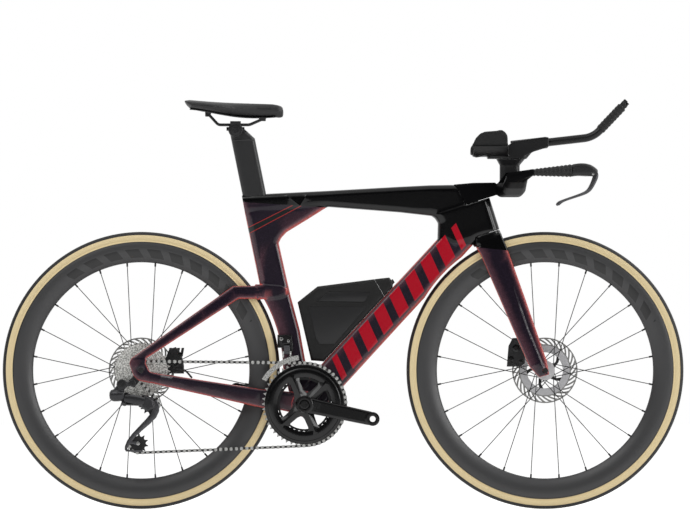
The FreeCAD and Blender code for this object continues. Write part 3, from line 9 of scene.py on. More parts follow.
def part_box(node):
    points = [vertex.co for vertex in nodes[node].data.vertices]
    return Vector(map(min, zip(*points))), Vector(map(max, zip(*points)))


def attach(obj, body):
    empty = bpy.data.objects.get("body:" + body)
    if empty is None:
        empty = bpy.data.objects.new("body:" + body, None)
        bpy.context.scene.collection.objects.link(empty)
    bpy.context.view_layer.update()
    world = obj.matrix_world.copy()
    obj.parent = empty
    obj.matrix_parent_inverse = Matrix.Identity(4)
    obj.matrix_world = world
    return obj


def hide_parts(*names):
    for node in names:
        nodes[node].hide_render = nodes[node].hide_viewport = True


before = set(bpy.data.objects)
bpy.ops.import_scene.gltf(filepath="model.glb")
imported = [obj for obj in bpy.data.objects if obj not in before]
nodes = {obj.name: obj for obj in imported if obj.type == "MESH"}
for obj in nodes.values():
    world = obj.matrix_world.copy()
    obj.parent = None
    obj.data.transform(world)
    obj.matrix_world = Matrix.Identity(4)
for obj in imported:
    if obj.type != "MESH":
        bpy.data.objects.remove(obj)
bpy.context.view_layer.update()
scene = bpy.context.scene

# Camera: a long lens square to the drive side, so that the wheels stay round
camera_distance = 60.0
view_width = 1.6836
camera = bpy.data.objects.new("camera", bpy.data.cameras.new("camera"))
camera.data.sensor_width = 36.0
camera.data.lens = camera.data.sensor_width * camera_distance / view_width
camera.data.clip_end = 200.0
camera.location = (0.0046, -camera_distance, 0.6098)
camera.rotation_euler = (math.pi / 2, 0, 0)
scene.collection.objects.link(camera)
scene.camera = camera

# Points and directions of the shared frame, in millimetres
rear_axle = Vector((-492.5, 0, 338))
front_axle = Vector((492.5, 0, 338))
bracket = Vector((-94.22, 0, 255.2))
clamp = Vector((-262.56, 0, 925.09))
bar_centre = Vector((397.44, 0, 792.45))
across = Vector((0, 1, 0))


def mm(point):
    """A point given in millimetres, in metres."""
    return Vector(point) * 0.001


def aimed(point, direction):
    """The matrix that stands a shape made along Z at a point in millimetres, facing a direction."""
    turn = Vector(direction).to_track_quat("Z", "Y").to_matrix().to_4x4()
    return Matrix.Translation(mm(point)) @ turn


# Shader tools
def ink(code):
    """The linear colour of an sRGB hex code."""
    parts = [int(code[i:i + 2], 16) / 255 for i in (1, 3, 5)]
    linear = [c / 12.92 if c <= 0.04045 else ((c + 0.055) / 1.055) ** 2.4 for c in parts]
    return (*linear, 1.0)


def plug(tree, node, inputs):
    """Sets a node's inputs: an output socket is linked, and any other value is typed in."""
    for socket, value in inputs.items():
        if isinstance(value, bpy.types.NodeSocket):
            tree.links.new(value, node.inputs[socket])
        else:
            node.inputs[socket].default_value = value


def add(tree, kind, inputs, **settings):
    """Adds a shader node with its settings and links, and gives its outputs."""
    node = tree.nodes.new("ShaderNode" + kind)
    for name, value in settings.items():
        setattr(node, name, value)
    plug(tree, node, inputs)
    return node.outputs


def start_material(name):
    """An empty material, its shader, and the coordinates that its patterns are laid on."""
    material = bpy.data.materials.new(name)
    material.use_nodes = True
    tree = material.node_tree
    tree.nodes.clear()
    shader = tree.nodes.new("ShaderNodeBsdfPrincipled")
    output = tree.nodes.new("ShaderNodeOutputMaterial")
    tree.links.new(shader.outputs[0], output.inputs[0])
    place = tree.nodes.new("ShaderNodeTexCoord").outputs
    return material, tree, shader, place


def side_of(tree, place, first, second, soft=0.3):
    """1 on the left of the line from first to second, 0 on its right: x and z in mm, from the drive side."""
    along = Vector((second[0] - first[0], second[1] - first[1])).normalized()
    left = Vector((-along.y, along.x))
    reach = left.dot(Vector(first))
    out = add(tree, "VectorMath", {0: place["Object"], 1: (left.x, 0, left.y)}, operation="DOT_PRODUCT")
    return add(tree, "MapRange", {0: out["Value"], 1: (reach - soft) / 1000, 2: (reach + soft) / 1000})[0]


def grained(name, dark, light, size, rough, metal=0.0, coat=0.0, bump=0.0, shine=0.5):
    """A finish with a fine grain of two tones: size is the grain's in mm, and bump its depth in mm."""
    material, tree, shader, place = start_material(name)
    grain = add(tree, "TexNoise", {"Vector": place["Object"], "Scale": 1000 / size, "Detail": 4.0})[0]
    tone = add(tree, "MapRange", {0: grain, 1: 0.35, 2: 0.65})[0]
    colour = add(tree, "Mix", {0: tone, 6: ink(dark), 7: ink(light)}, data_type="RGBA")[2]
    worn = add(tree, "MapRange", {0: grain, 1: 0.3, 2: 0.7, 3: 0.85 * rough, 4: 1.15 * rough})[0]
    plug(tree, shader, {"Base Color": colour, "Roughness": worn, "Metallic": metal, "Coat Weight": coat,
                        "Coat Roughness": 0.06, "Specular IOR Level": shine})
    if bump:
        relief = add(tree, "Bump", {"Height": grain, "Distance": bump / 1000})[0]
        plug(tree, shader, {"Normal": relief})
    return material


def lacquered(name, black_zones, graphics):
    """Colour-shift lacquer: its own dark plum on the flanks, black inside the given zones, and mauve and
    coral along the edges as a painted sheen, laid where the surface turns away from the side view.

    A zone is a group of lines that it lies on the left of. Graphics are the down tube's plain bars and the
    seat tube's band.
    """
    material, tree, shader, place = start_material(name)
    facing = add(tree, "SeparateXYZ", {0: place["Normal"]})["Y"]
    flank = add(tree, "Math", {0: facing}, operation="ABSOLUTE")[0]
    # Clouds of about 40 mm vary the shift, as a sprayed coat does
    cloud = add(tree, "TexNoise", {"Vector": place["Object"], "Scale": 24.0, "Detail": 3.0})[0]
    drift = add(tree, "MapRange", {0: cloud, 1: 0.3, 2: 0.7, 3: -0.06, 4: 0.06})[0]
    shifts = []
    # Painted sheen: mauve and coral laid where the surface turns away from the side view, and near its
    # outline
    for attribute, start, end in (("edge_fade", 0.85, 0.4), ("edge_glow", 0.6, 0.25)):
        turned_away_sheen = add(tree, "MapRange", {0: flank, 1: start, 2: end})[0]
        near_outline_sheen = add(tree, "Attribute", {}, attribute_name=attribute)["Fac"]
        shift = add(tree, "Math", {0: turned_away_sheen, 1: near_outline_sheen}, operation="MAXIMUM")[0]
        shifts.append(add(tree, "Math", {0: shift, 1: drift}, operation="ADD")[0])
    fade, glow = shifts
    colour = ink("#1f1823")
    for shift, start, end, code in ((fade, 0.05, 0.9, "#52363f"), (glow, 0.05, 0.55, "#84474b"),
                                    (glow, 0.4, 0.95, "#c04c43")):
        reached = add(tree, "MapRange", {0: shift, 1: start, 2: end}, interpolation_type="SMOOTHSTEP")[0]
        colour = add(tree, "Mix", {0: reached, 6: colour, 7: ink(code)}, data_type="RGBA")[2]
    # Metal flakes, drawn 1.4 mm wide so that they show: real ones are finer. The flakes are real, and their
    # sparkle is a painted glint that brightens the colour by up to half again
    flake = add(tree, "TexVoronoi", {"Vector": place["Object"], "Scale": 700.0})["Color"]
    sparkle = add(tree, "SeparateColor", {0: flake})[0]
    glint = add(tree, "MapRange", {0: sparkle, 1: 0.6, 2: 1.0, 3: 0.88, 4: 1.55})[0]
    colour = add(tree, "VectorMath", {0: colour, "Scale": glint}, operation="SCALE")[0]
    if graphics:
        # A dark band across the seat tube between two fine red lines
        upper = ((-230.6, 686.9), (-126.6, 739.1))
        lower = ((-227.2, 673.2), (-103.2, 739.1))
        above_low = side_of(tree, place, lower[0], lower[1])
        below_high = side_of(tree, place, upper[1], upper[0])
        band = add(tree, "Math", {0: above_low, 1: below_high}, operation="MULTIPLY")[0]
        colour = add(tree, "Mix", {0: band, 6: colour, 7: ink("#1c2122")}, data_type="RGBA")[2]
        for first, second in (upper, lower):
            one = side_of(tree, place, first, second, 1.0)
            peak = add(tree, "Math", {0: one, 1: 0.5}, operation="PINGPONG")[0]
            line = add(tree, "MapRange", {0: peak, 1: 0.05, 2: 0.2})[0]
            colour = add(tree, "Mix", {0: line, 6: colour, 7: ink("#a8322f")}, data_type="RGBA")[2]
    black = None
    for zone in black_zones:
        inside = None
        for first, second in zone:
            side = side_of(tree, place, first, second)
            if inside:
                inside = add(tree, "Math", {0: inside, 1: side}, operation="MULTIPLY")[0]
            else:
                inside = side
        if black:
            black = add(tree, "Math", {0: black, 1: inside}, operation="MAXIMUM")[0]
        else:
            black = inside
    colour = add(tree, "Mix", {0: black, 6: colour, 7: ink("#050506")}, data_type="RGBA")[2]
    if graphics:
        # Plain slanted bars along the down tube, in metres
        bar_pitch = 0.056
        bar_gap = 0.022
        bar_slant = -0.42
        sharp = 0.0002
        along = add(tree, "VectorMath", {0: place["Object"], 1: (0.675, 0, 0.738)}, operation="DOT_PRODUCT")
        over = add(tree, "VectorMath", {0: place["Object"], 1: (-0.738, 0, 0.675)}, operation="DOT_PRODUCT")
        slant = add(tree, "Math", {0: over["Value"], 1: bar_slant, 2: along["Value"]},
                    operation="MULTIPLY_ADD")[0]
        step = add(tree, "Math", {0: slant, 1: bar_pitch / 2}, operation="PINGPONG")[0]
        shown = add(tree, "MapRange", {0: step, 1: bar_gap / 2 - sharp, 2: bar_gap / 2 + sharp})[0]
        for value, edge, way in ((over["Value"], 0.213, 1), (over["Value"], 0.268, -1), (slant, 0.140, 1),
                                 (slant, 0.588, -1)):
            kept = add(tree, "MapRange", {0: value, 1: edge - way * sharp, 2: edge + way * sharp})[0]
            shown = add(tree, "Math", {0: shown, 1: kept}, operation="MULTIPLY")[0]
        colour = add(tree, "Mix", {0: shown, 6: colour, 7: ink("#ad0e23")}, data_type="RGBA")[2]
    plug(tree, shader, {"Base Color": colour, "Roughness": 0.22, "Coat Weight": 0.4, "Coat Roughness": 0.03,
                        "Specular IOR Level": 0.16})
    return material


def ringed(name, axle, bands, rough, metal, blocks=None, gap_shade_size=0):
    """A finish in rings round an axle: bands are (outer radius in mm, colour).

    Blocks are dark marks on a rim: inner and outer radius in mm, first and last angle and pitch in degrees.
    The last argument is the size in mm of dark spots: painted shade in the cut-outs between teeth.
    """
    material, tree, shader, place = start_material(name)
    offset = add(tree, "VectorMath", {0: place["Object"], 1: mm(axle)}, operation="SUBTRACT")[0]
    flat = add(tree, "VectorMath", {0: offset, 1: (1, 0, 1)}, operation="MULTIPLY")[0]
    radius = add(tree, "VectorMath", {0: flat}, operation="LENGTH")["Value"]
    # A grain of 0.8 mm, coarser than the real one so that it shows
    grain = add(tree, "TexNoise", {"Vector": place["Object"], "Scale": 1200.0, "Detail": 3.0})[0]
    colour = ink(bands[0][1])
    for (outer, _), (_, after) in zip(bands, bands[1:]):
        passed = add(tree, "MapRange", {0: radius, 1: (outer - 0.25) / 1000, 2: (outer + 0.25) / 1000})[0]
        colour = add(tree, "Mix", {0: passed, 6: colour, 7: ink(after)}, data_type="RGBA")[2]
    shade = add(tree, "MapRange", {0: grain, 1: 0.3, 2: 0.7, 3: 0.9, 4: 1.1})[0]
    colour = add(tree, "VectorMath", {0: colour, "Scale": shade}, operation="SCALE")[0]
    if gap_shade_size:
        # Dark spots of painted shade where the cut-outs between teeth lie
        cell = add(tree, "TexVoronoi", {"Vector": place["Object"], "Scale": 1000 / gap_shade_size})[0]
        cut = add(tree, "MapRange", {0: cell, 1: 0.5, 2: 0.6, 4: 0.6})[0]
        colour = add(tree, "Mix", {0: cut, 6: colour, 7: ink("#3a3734")}, data_type="RGBA")[2]
    gloss = rough
    if blocks:
        inner, outer, first, last, pitch = blocks
        spot = add(tree, "SeparateXYZ", {0: offset})
        angle = add(tree, "Math", {0: spot["Z"], 1: spot["X"]}, operation="ARCTAN2")[0]
        lean = add(tree, "Math", {0: radius, 1: -2.2, 2: angle}, operation="MULTIPLY_ADD")[0]
        turn = math.radians(pitch)
        step = add(tree, "Math", {0: lean, 1: turn / 2}, operation="PINGPONG")[0]
        mark = add(tree, "MapRange", {0: step, 1: turn * 0.185, 2: turn * 0.19})[0]
        limits = [(angle, math.radians(first), 1), (angle, math.radians(last), -1),
                  (radius, inner / 1000, 1), (radius, outer / 1000, -1)]
        for value, edge, way in limits:
            kept = add(tree, "MapRange", {0: value, 1: edge - way * 0.0004, 2: edge + way * 0.0004})[0]
            mark = add(tree, "Math", {0: mark, 1: kept}, operation="MULTIPLY")[0]
        colour = add(tree, "Mix", {0: mark, 6: colour, 7: ink("#0a0a0b")}, data_type="RGBA")[2]
        gloss = add(tree, "MapRange", {0: mark, 3: rough, 4: 0.36})[0]
    plug(tree, shader, {"Base Color": colour, "Roughness": gloss, "Metallic": metal})
    return material


# Materials: real grains are finer than a pixel, so each is drawn as coarse as it needs to show
# Low-gloss clear lacquer over black carbon: near black, with a sheen along its edges only
black_lacquer = grained("carbon_black_low_gloss_lacquer", "#080809", "#0e0e0f", 0.8, 0.42, shine=0.02)
# Bare carbon under satin lacquer: dark grey with a broad soft sheen
satin_carbon = grained("carbon_satin_lacquer", "#1d1d1e", "#262627", 1.0, 0.4, shine=0.35)
# Satin black paint over carbon tube: the arm extensions, their trays and the saddle rails
satin_black = grained("carbon_satin_black", "#0c0c0d", "#141415", 1.0, 0.36, shine=0.3)
# Hard anodised and bead-blasted aluminium: black with a grey bloom
black_anodised = grained("aluminium_black_anodised", "#121213", "#1e1e20", 0.6, 0.4, metal=0.3, bump=0.02)
# Polished anodised aluminium: deep black, mirror-like along its edges
gloss_anodised = grained("aluminium_gloss_black_anodised", "#070708", "#0e0e0f", 0.7, 0.22, metal=0.2,
                         coat=0.25, shine=0.3)
# Forged and brushed aluminium, dyed dark grey: the cage, the brake levers and small plates
grey_alloy = grained("aluminium_brushed_dark_grey", "#3a3a3c", "#58585b", 0.9, 0.32, metal=0.7, bump=0.02)
# Rolled aluminium, bead-blasted: pale, dull silver
pale_alloy = grained("aluminium_rolled_blasted", "#b2b2b4", "#cacacb", 0.8, 0.5, metal=0.3)
# Nickel-plated steel: bright, cool and slightly worn
plated_steel = grained("steel_nickel_plated", "#9a9a98", "#cfcfcc", 0.7, 0.24, metal=0.85, bump=0.02)
# Turned stainless steel: small screws and bearings
turned_steel = grained("steel_stainless_turned", "#8d8d8b", "#adadab", 0.5, 0.28, metal=0.9)
# Bladed steel with a black oxide skin: the spokes
black_steel = grained("steel_black_oxide", "#121213", "#1c1c1d", 0.8, 0.5, shine=0.3)
# Moulded nylon with a spark-eroded texture: dull black, fine pebble
black_nylon = grained("nylon_moulded_textured", "#101010", "#191919", 1.2, 0.55, bump=0.12, shine=0.25)
# Cast and anodised aluminium: charcoal with a soft sheen, the bodies of the mechs
dark_alloy = grained("aluminium_cast_charcoal", "#232325", "#343437", 0.7, 0.34, metal=0.4, bump=0.02)
# Smooth moulded nylon: a shade lighter and sleeker than the textured shell
smooth_nylon = grained("nylon_moulded_smooth", "#19191a", "#232324", 1.0, 0.4, shine=0.3)
# Cured rubber with a pebbled grip: dull black
grip_rubber = grained("rubber_moulded_pebbled", "#0e0e0f", "#191919", 2.2, 0.6, bump=0.3, shine=0.35)
# Microfibre cover drawn over foam: black with a soft napped grain
saddle_skin = grained("microfibre_thermoformed", "#0f0f10", "#1a1a1b", 1.4, 0.5, bump=0.1, shine=0.4)
# Knitted facing over closed-cell foam: black with a coarse soft grain
pad_cloth = grained("knit_on_foam_laminated", "#0d0d0e", "#191919", 2.6, 0.7, bump=0.35, shine=0.3)
# Colour-shift lacquer over carbon, black on the top tube, the head and round the stem, with a painted sheen
# of mauve and coral along its edges
above_seat_border = ((-245.5, 748.8), (-19.8, 733.9))
above_head_border = ((226.7, 654.9), (314.5, 644.4))
ahead_of_gusset = ((-19.8, 900), (-19.8, 0))
frame_black = ((above_seat_border,), (above_head_border, ahead_of_gusset))
frame_paint = lacquered("carbon_colour_shift_lacquer", frame_black, True)
above_crown_border = ((314.5, 640.0), (390.0, 631.7))
fork_paint = lacquered("carbon_colour_shift_lacquer_fork", ((above_crown_border,),), False)
# Satin-lacquered carbon rims with dark marks, ground steel rotors, and cotton-sided tyres with a black tread
rim_finish = {}
tyre_finish = {}
rotor_finish = {}
for wheel, axle in (("rear", rear_axle), ("front", front_axle)):
    rim_bands = ((311.6, "#363637"), (400, "#151516"))
    rim_blocks = (275, 296, 24, 128, 10.4)
    rim_finish[wheel] = ringed(wheel + "_rim_carbon_satin", axle, rim_bands, 0.42, 0.0, rim_blocks)
    tyre_bands = ((314.0, "#5d523c"), (330.2, "#e6d2a4"), (400, "#141415"))
    tyre_finish[wheel] = ringed(wheel + "_tyre_cotton_and_rubber", axle, tyre_bands, 0.7, 0.0)
    rotor_bands = ((44.5, "#111113"), (61, "#c2c2c4"), (400, "#8c8c8a"))
    rotor_finish[wheel] = ringed(wheel + "_rotor_ground_steel", axle, rotor_bands, 0.4, 0.3)
# Stamped and plated sprockets: each one bright at its teeth and dark where the next one shades it
chain_pitch = 12.7
cog_bands = []
for teeth in (11, 12, 13, 14, 15, 17, 19, 21, 24, 27, 30, 34):
    pitch_radius = chain_pitch / (2 * math.sin(math.pi / teeth))
    cog_bands += [(pitch_radius - 2.6, "#a9a9a6"), (pitch_radius + 3.0, "#f0f0ec")]
cassette_finish = ringed("cassette_steel_plated", rear_axle, cog_bands, 0.35, 0.3, gap_shade_size=3.6)
# Machined chainrings: hard black faces, bare metal at the teeth
ring_finish = ringed("chainring_aluminium_black", bracket, ((97.2, "#0a0a0b"), (400, "#a3a3a1")), 0.3, 0.3)


# Modelling tools
def settled(name, bm):
    """The mesh of a bmesh, with its normals facing outwards."""
    bmesh.ops.recalc_face_normals(bm, faces=bm.faces)
    mesh = bpy.data.meshes.new(name)
    bm.to_mesh(mesh)
    bm.free()
    return mesh


def piece(name, mesh, body, material, replaced=(), angle=35):
    """A finished mesh as a piece that rides a body, shaded smooth below an angle in degrees."""
    obj = bpy.data.objects.new(name, mesh)
    scene.collection.objects.link(obj)
    mesh.shade_smooth()
    mesh.set_sharp_from_angle(angle=math.radians(angle))
    mesh.materials.clear()
    mesh.materials.append(material)
    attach(obj, body)
    if replaced:
        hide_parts(*replaced)
    return obj


def applied(mesh, *modifiers, weights=None):
    """A mesh after modifiers, each (kind, settings). Weights gives a point's share of the group held."""
    obj = bpy.data.objects.new("work", mesh)
    scene.collection.objects.link(obj)
    if weights:
        group = obj.vertex_groups.new(name="held")
        for vertex in mesh.vertices:
            group.add([vertex.index], weights(vertex.co * 1000), "REPLACE")
    for kind, settings in modifiers:
        modifier = obj.modifiers.new(kind, kind)
        for name, value in settings.items():
            setattr(modifier, name, value)
    ready = obj.evaluated_get(bpy.context.evaluated_depsgraph_get())
    result = bpy.data.meshes.new_from_object(ready)
    bpy.data.objects.remove(obj)
    return result


def copied(*names):
    """A bmesh of CAD nodes, their loose triangles joined, in the shared frame."""
    bm = bmesh.new()
    for name in names:
        mesh = nodes[name].data.copy()
        mesh.transform(nodes[name].matrix_world)
        bm.from_mesh(mesh)
        bpy.data.meshes.remove(mesh)
    bmesh.ops.remove_doubles(bm, verts=bm.verts, dist=1e-6)
    return bm


def moulded(names, voxel, rounds, *forms):
    """CAD nodes and added forms, each (maker, its values), as one smoothed moulding: voxel in mm."""
    bm = copied(*names)
    for make, *values in forms:
        make(bm, *values)
    return applied(settled("rough", bm), ("REMESH", {"mode": "VOXEL", "voxel_size": voxel / 1000}),
                   ("SMOOTH", {"factor": 0.5, "iterations": rounds}))


def edged(node, width):
    """A CAD node with its hard edges rounded by a width in mm."""
    bm = copied(node)
    bmesh.ops.dissolve_limit(bm, angle_limit=math.radians(0.4), verts=bm.verts, edges=bm.edges)
    rounding = {"width": width / 1000, "segments": 2, "limit_method": "ANGLE",
                "angle_limit": math.radians(32)}
    return applied(settled(node + "_rough", bm), ("BEVEL", rounding))


def turned(bm, profile, place, steps, closed=False):
    """Adds a shape turned about the Z axis of a place: profile points are (radius, height) in mm."""
    verts = [bm.verts.new(place @ mm((radius, 0, height))) for radius, height in profile]
    ends = verts[1:] + verts[:1] if closed else verts[1:]
    edges = [bm.edges.new(pair) for pair in zip(verts, ends)]
    axis = place.to_3x3() @ Vector((0, 0, 1))
    bmesh.ops.spin(bm, geom=verts + edges, cent=place.translation, axis=axis, angle=math.tau, steps=steps,
                   use_merge=True)
    bmesh.ops.remove_doubles(bm, verts=bm.verts, dist=1e-6)


def plate(bm, outline, y, thickness, edge):
    """Adds a plate standing out from y by a thickness: its outline is (x, z) in mm, edge its rounding."""
    verts = [bm.verts.new(mm((x, y, z))) for x, z in outline]
    grown = bmesh.ops.extrude_face_region(bm, geom=[bm.faces.new(verts)])["geom"]
    front = [g for g in grown if isinstance(g, bmesh.types.BMFace)]
    bmesh.ops.translate(bm, verts=front[0].verts[:], vec=mm((0, thickness, 0)))
    bmesh.ops.bevel(bm, geom=front[0].edges[:], offset=edge / 1000, segments=2, profile=0.5, affect="EDGES",
                    material=-1)


def swept(bm, path, sides):
    """Adds a bar through rings along a path: each is (x, y, z, half width across, half height) in mm."""
    spots = [Vector(ring[:3]) for ring in path]
    loops = []
    for i, (wide, high) in enumerate(ring[3:] for ring in path):
        way = (spots[min(i + 1, len(spots) - 1)] - spots[max(i - 1, 0)]).normalized()
        rise = way.cross(across)
        ring = bmesh.ops.create_circle(bm, segments=sides, radius=1)["verts"]
        for vertex in ring:
            vertex.co = mm(spots[i] + across * wide * vertex.co.x + rise * high * vertex.co.y)
        loops.append(list({edge for vertex in ring for edge in vertex.link_edges}))
    for before, after in zip(loops, loops[1:]):
        bmesh.ops.bridge_loops(bm, edges=before + after)
    for end in (loops[0], loops[-1]):
        bmesh.ops.contextual_create(bm, geom=end)


def bolt(bm, point, direction, radius, height):
    """Adds a bolt head with a socket, seated at a point and facing a direction; sizes in mm."""
    profile = ((0, 0.3 * height), (0.42 * radius, 0.3 * height), (0.5 * radius, height),
               (0.86 * radius, height), (radius, 0.8 * height), (radius, -0.5 * height), (0, -0.5 * height))
    turned(bm, profile, aimed(point, direction), 20)


# Wheels: rims and tyres turned from their sections
def arc_points(centre, radius, start, end, count):
    """Points (radius, height) along an arc, angles in degrees from the radial direction."""
    turns = [math.radians(start + (end - start) * i / count) for i in range(count + 1)]
    return [(centre + radius * math.cos(t), radius * math.sin(t)) for t in turns]


wheel_radius = 338
tyre_width = 26.0
tread_half_angle = 62.0
for wheel, axle in (("rear", rear_axle), ("front", front_axle)):
    wheel_place = aimed(axle, across)
    section = [(263.6, 1.4), (267, 4.6), (276, 9.3), (284, 12.2), (294, 13.9), (303, 13.7), (309, 12.6),
               (312, 11.7), (313.3, 11.2), (313.5, 9.6)]
    rim = bmesh.new()
    turned(rim, section + [(r, -y) for r, y in reversed(section)], wheel_place, 216, closed=True)
    piece(wheel + "_rim_shell", settled(wheel + "_rim", rim), wheel + "_wheel",
          rim_finish[wheel], (wheel + "_rim",), 60)
    half = tyre_width / 2
    crown = wheel_radius - half
    side = arc_points(crown, half - 0.5, 128, tread_half_angle + 1.5, 8)
    tread = arc_points(crown, half, tread_half_angle, 0, 7)
    half_section = [(313.4, 9.4), (313.9, 10.9)] + side + tread
    tyre = bmesh.new()
    whole = half_section + [(r, -y) for r, y in reversed(half_section[:-1])]
    turned(tyre, whole, wheel_place, 216, closed=True)
    piece(wheel + "_tyre_case", settled(wheel + "_tyre", tyre), wheel + "_wheel",
          tyre_finish[wheel], (wheel + "_tyre",), 50)

# Rotors: a slotted track on a pale carrier with five dark swept arms
track_radius = 80
track_inner = 60.5
slot_count = 30
slot_lean = 0.2
for wheel, axle, rotor_y in (("rear", rear_axle, 55), ("front", front_axle, 38)):
    track = bmesh.new()
    bmesh.ops.create_grid(track, x_segments=4 * slot_count, y_segments=6, size=1)
    slots = []
    for face in track.faces:
        middle = face.calc_center_median()
        if abs(middle.y) < 0.6 and int((middle.x + 1) * 2 * slot_count) % 4 < 2:
            slots.append(face)
    bmesh.ops.delete(track, geom=slots, context="FACES")
    for vertex in track.verts:
        turn = math.pi * vertex.co.x + slot_lean * vertex.co.y
        radius = track_inner + (track_radius - track_inner) * (vertex.co.y + 1) / 2
        vertex.co = mm(axle + Vector((radius * math.cos(turn), rotor_y, radius * math.sin(turn))))
    bmesh.ops.remove_doubles(track, verts=track.verts, dist=1e-5)
    solid_track = applied(settled("track", track), ("SOLIDIFY", {"thickness": 0.0018, "offset": 0}))
    rotor = bmesh.new()
    carrier = ((44, -1), (44, 1), (61.5, 1), (61.5, -1))
    turned(rotor, carrier, aimed(axle + across * rotor_y, across), 96, closed=True)
    for arm in range(5):
        path = []
        for radius, bend, high in ((12, 0, 5), (24, 6, 4), (36, 14, 3.4), (46, 24, 4.5)):
            turn = math.radians(72 * arm + 20 + bend)
            spot = axle + Vector((radius * math.cos(turn), rotor_y, radius * math.sin(turn)))
            path.append((*spot, 1.4, high))
        swept(rotor, path, 10)
    rotor.from_mesh(solid_track)
    piece(wheel + "_rotor_disc", settled(wheel + "_rotor", rotor), wheel + "_wheel",
          rotor_finish[wheel], (wheel + "_rotor",), 30)


# Frame and fork: one moulding each, every junction faired
def near_junctions(point):
    """1 at the junctions of the main tubes, 0 away from them."""
    reach = 0
    for centre, radius in (((-150, 722), 120), ((270, 690), 110), ((300, 650), 80)):
        gap = math.hypot(point.x - centre[0], point.z - centre[1])
        reach = max(reach, min(1, max(0, (radius - gap) / 40)))
    return reach


def painted_sheen_edges(mesh, **reaches):
    """Stores for the paint's painted sheen how near each point is to the outline of the side view: 1 on it,
    0 at a reach.

    Each attribute has four reaches in mm, at edges that face ahead, to the rear, up and down. They are
    shorter on the stays. Bores don't count.
    """
    tree = bvhtree.BVHTree.FromPolygons([v.co for v in mesh.vertices], [f.vertices for f in mesh.polygons])
    outline = []
    for vertex in mesh.vertices:
        normal = vertex.normal.copy()
        if abs(normal.y) < 0.45:
            flat = Vector((vertex.co.x, 0, vertex.co.z))
            bored = min((flat - mm(axle)).length for axle in (rear_axle, front_axle)) < 0.01
            beside = vertex.co + normal * 0.003
            if not bored and not all(tree.ray_cast(beside, way)[0] for way in (across, -across)):
                outline.append((flat, normal))
    finder = kdtree.KDTree(len(outline))
    for index, (flat, _) in enumerate(outline):
        finder.insert(flat, index)
    finder.balance()
    nearest = [finder.find((vertex.co.x, 0, vertex.co.z)) for vertex in mesh.vertices]
    for attribute, (ahead, rear, up, down) in reaches.items():
        values = []
        for spot, index, gap in nearest:
            normal = outline[index][1]
            level = normal.x ** 2
            upright = normal.z ** 2
            reach = (ahead if normal.x > 0 else rear) * level + (up if normal.z > 0 else down) * upright
            slim = 0.5 if spot.x < -0.215 or spot.z < 0.335 else 1
            values.append(max(0, 1 - gap * 1000 * (level + upright) / (reach * slim)))
        mesh.attributes.new(attribute, "FLOAT", "POINT").data.foreach_set("value", values)
    return mesh


def creased(mesh, path, height, ahead, behind, run_in=1):
    """Raises a ridge, or sinks a groove, on both flanks of a mesh along a path of (x, z) in mm.

    In mm, it falls off over ahead on the left of the path and over behind on its right, and it rises from
    nothing over a run_in.
    """
    spots = [Vector(spot) for spot in path]
    # Moving a point makes every normal stale, so they are read before
    facings = [vertex.normal.y for vertex in mesh.vertices]
    for vertex, facing in zip(mesh.vertices, facings):
        if abs(facing) < 0.5 or facing * vertex.co.y < 0:
            continue
        point = Vector((vertex.co.x, vertex.co.z)) * 1000
        best = 0
        before = 0
        for first, second in zip(spots, spots[1:]):
            along = second - first
            passed = min(1, max(0, (point - first).dot(along) / along.length_squared))
            offset = point - first - along * passed
            fall = ahead if along.cross(offset) > 0 else behind
            share = 1 - offset.length / fall
            best = max(best, share * min(1, (before + passed * along.length) / run_in))
            before += along.length
        if best > 0:
            vertex.co.y += math.copysign(height / 1000 * best, facing)
    return mesh


# Each seat stay runs on across the seat tube as a raised pad
stay_pad = ((-215, 548.5), (-190, 547), (-152, 544), (-137, 537), (-137, 522), (-152, 516), (-190, 512),
            (-210, 510))
stay_pads = ((plate, stay_pad, -14, -6.2, 1.2), (plate, stay_pad, 14, 6.2, 1.2))
frame_mesh = moulded(("frame", "seat_wedge_cover"), 1.5, 6, *stay_pads)
flank_only = {"factor": 0.5, "iterations": 45, "use_x": False, "use_z": False, "vertex_group": "held"}
frame_mesh = applied(frame_mesh, ("SMOOTH", flank_only), weights=near_junctions)
# The seat wedge's seam, pressed in
wedge_seam = ((-140.5, 767.6), (-105.1, 739.6), (-86.9, 770.0))
frame_mesh = creased(frame_mesh, wedge_seam, -0.6, 1.6, 1.6)
frame_mesh = applied(frame_mesh, ("DECIMATE", {"ratio": 0.3}))
# The mauve and coral stored here are a painted sheen along the frame's outline
frame_mesh = painted_sheen_edges(frame_mesh, edge_fade=(9, 32, 10, 30), edge_glow=(6, 2.6, 3, 11))
piece("frame_shell", frame_mesh, "frame", frame_paint, ("frame", "seat_wedge_cover"), 50)
# A crease runs down each blade
blade_crease = ((404.8, 597.6), (417, 529), (446.3, 441.4), (490, 337))
fork_mesh = creased(moulded(("fork",), 1.4, 6), blade_crease, 3.8, 6, 30, 120)
fork_mesh = applied(fork_mesh, ("DECIMATE", {"ratio": 0.4}))
# The mauve and coral stored here are a painted sheen along the fork's outline
fork_mesh = painted_sheen_edges(fork_mesh, edge_fade=(16, 28, 10, 10), edge_glow=(9, 2.6, 3, 3))
piece("fork_blades", fork_mesh, "steering", fork_paint, ("fork",), 50)


# Bars, post and grips
def ribbed(mesh, way, pitch, depth):
    """Raises a leaning wrap on grips: way runs along them, pitch and depth in mm."""
    moves = []
    for vertex in mesh.vertices:
        turn = (vertex.co * 1000).dot(way) + vertex.co.y * 1000 * 0.25
        moves.append(vertex.normal * depth / 1000 * math.sin(turn / pitch * math.tau))
    for vertex, move in zip(mesh.vertices, moves):
        vertex.co += move
    return mesh


bar_way = Vector((93, 0, 4.4)).normalized()
tip_angle = math.radians(46.5)
tip_way = Vector((math.cos(tip_angle), 0, math.sin(tip_angle)))
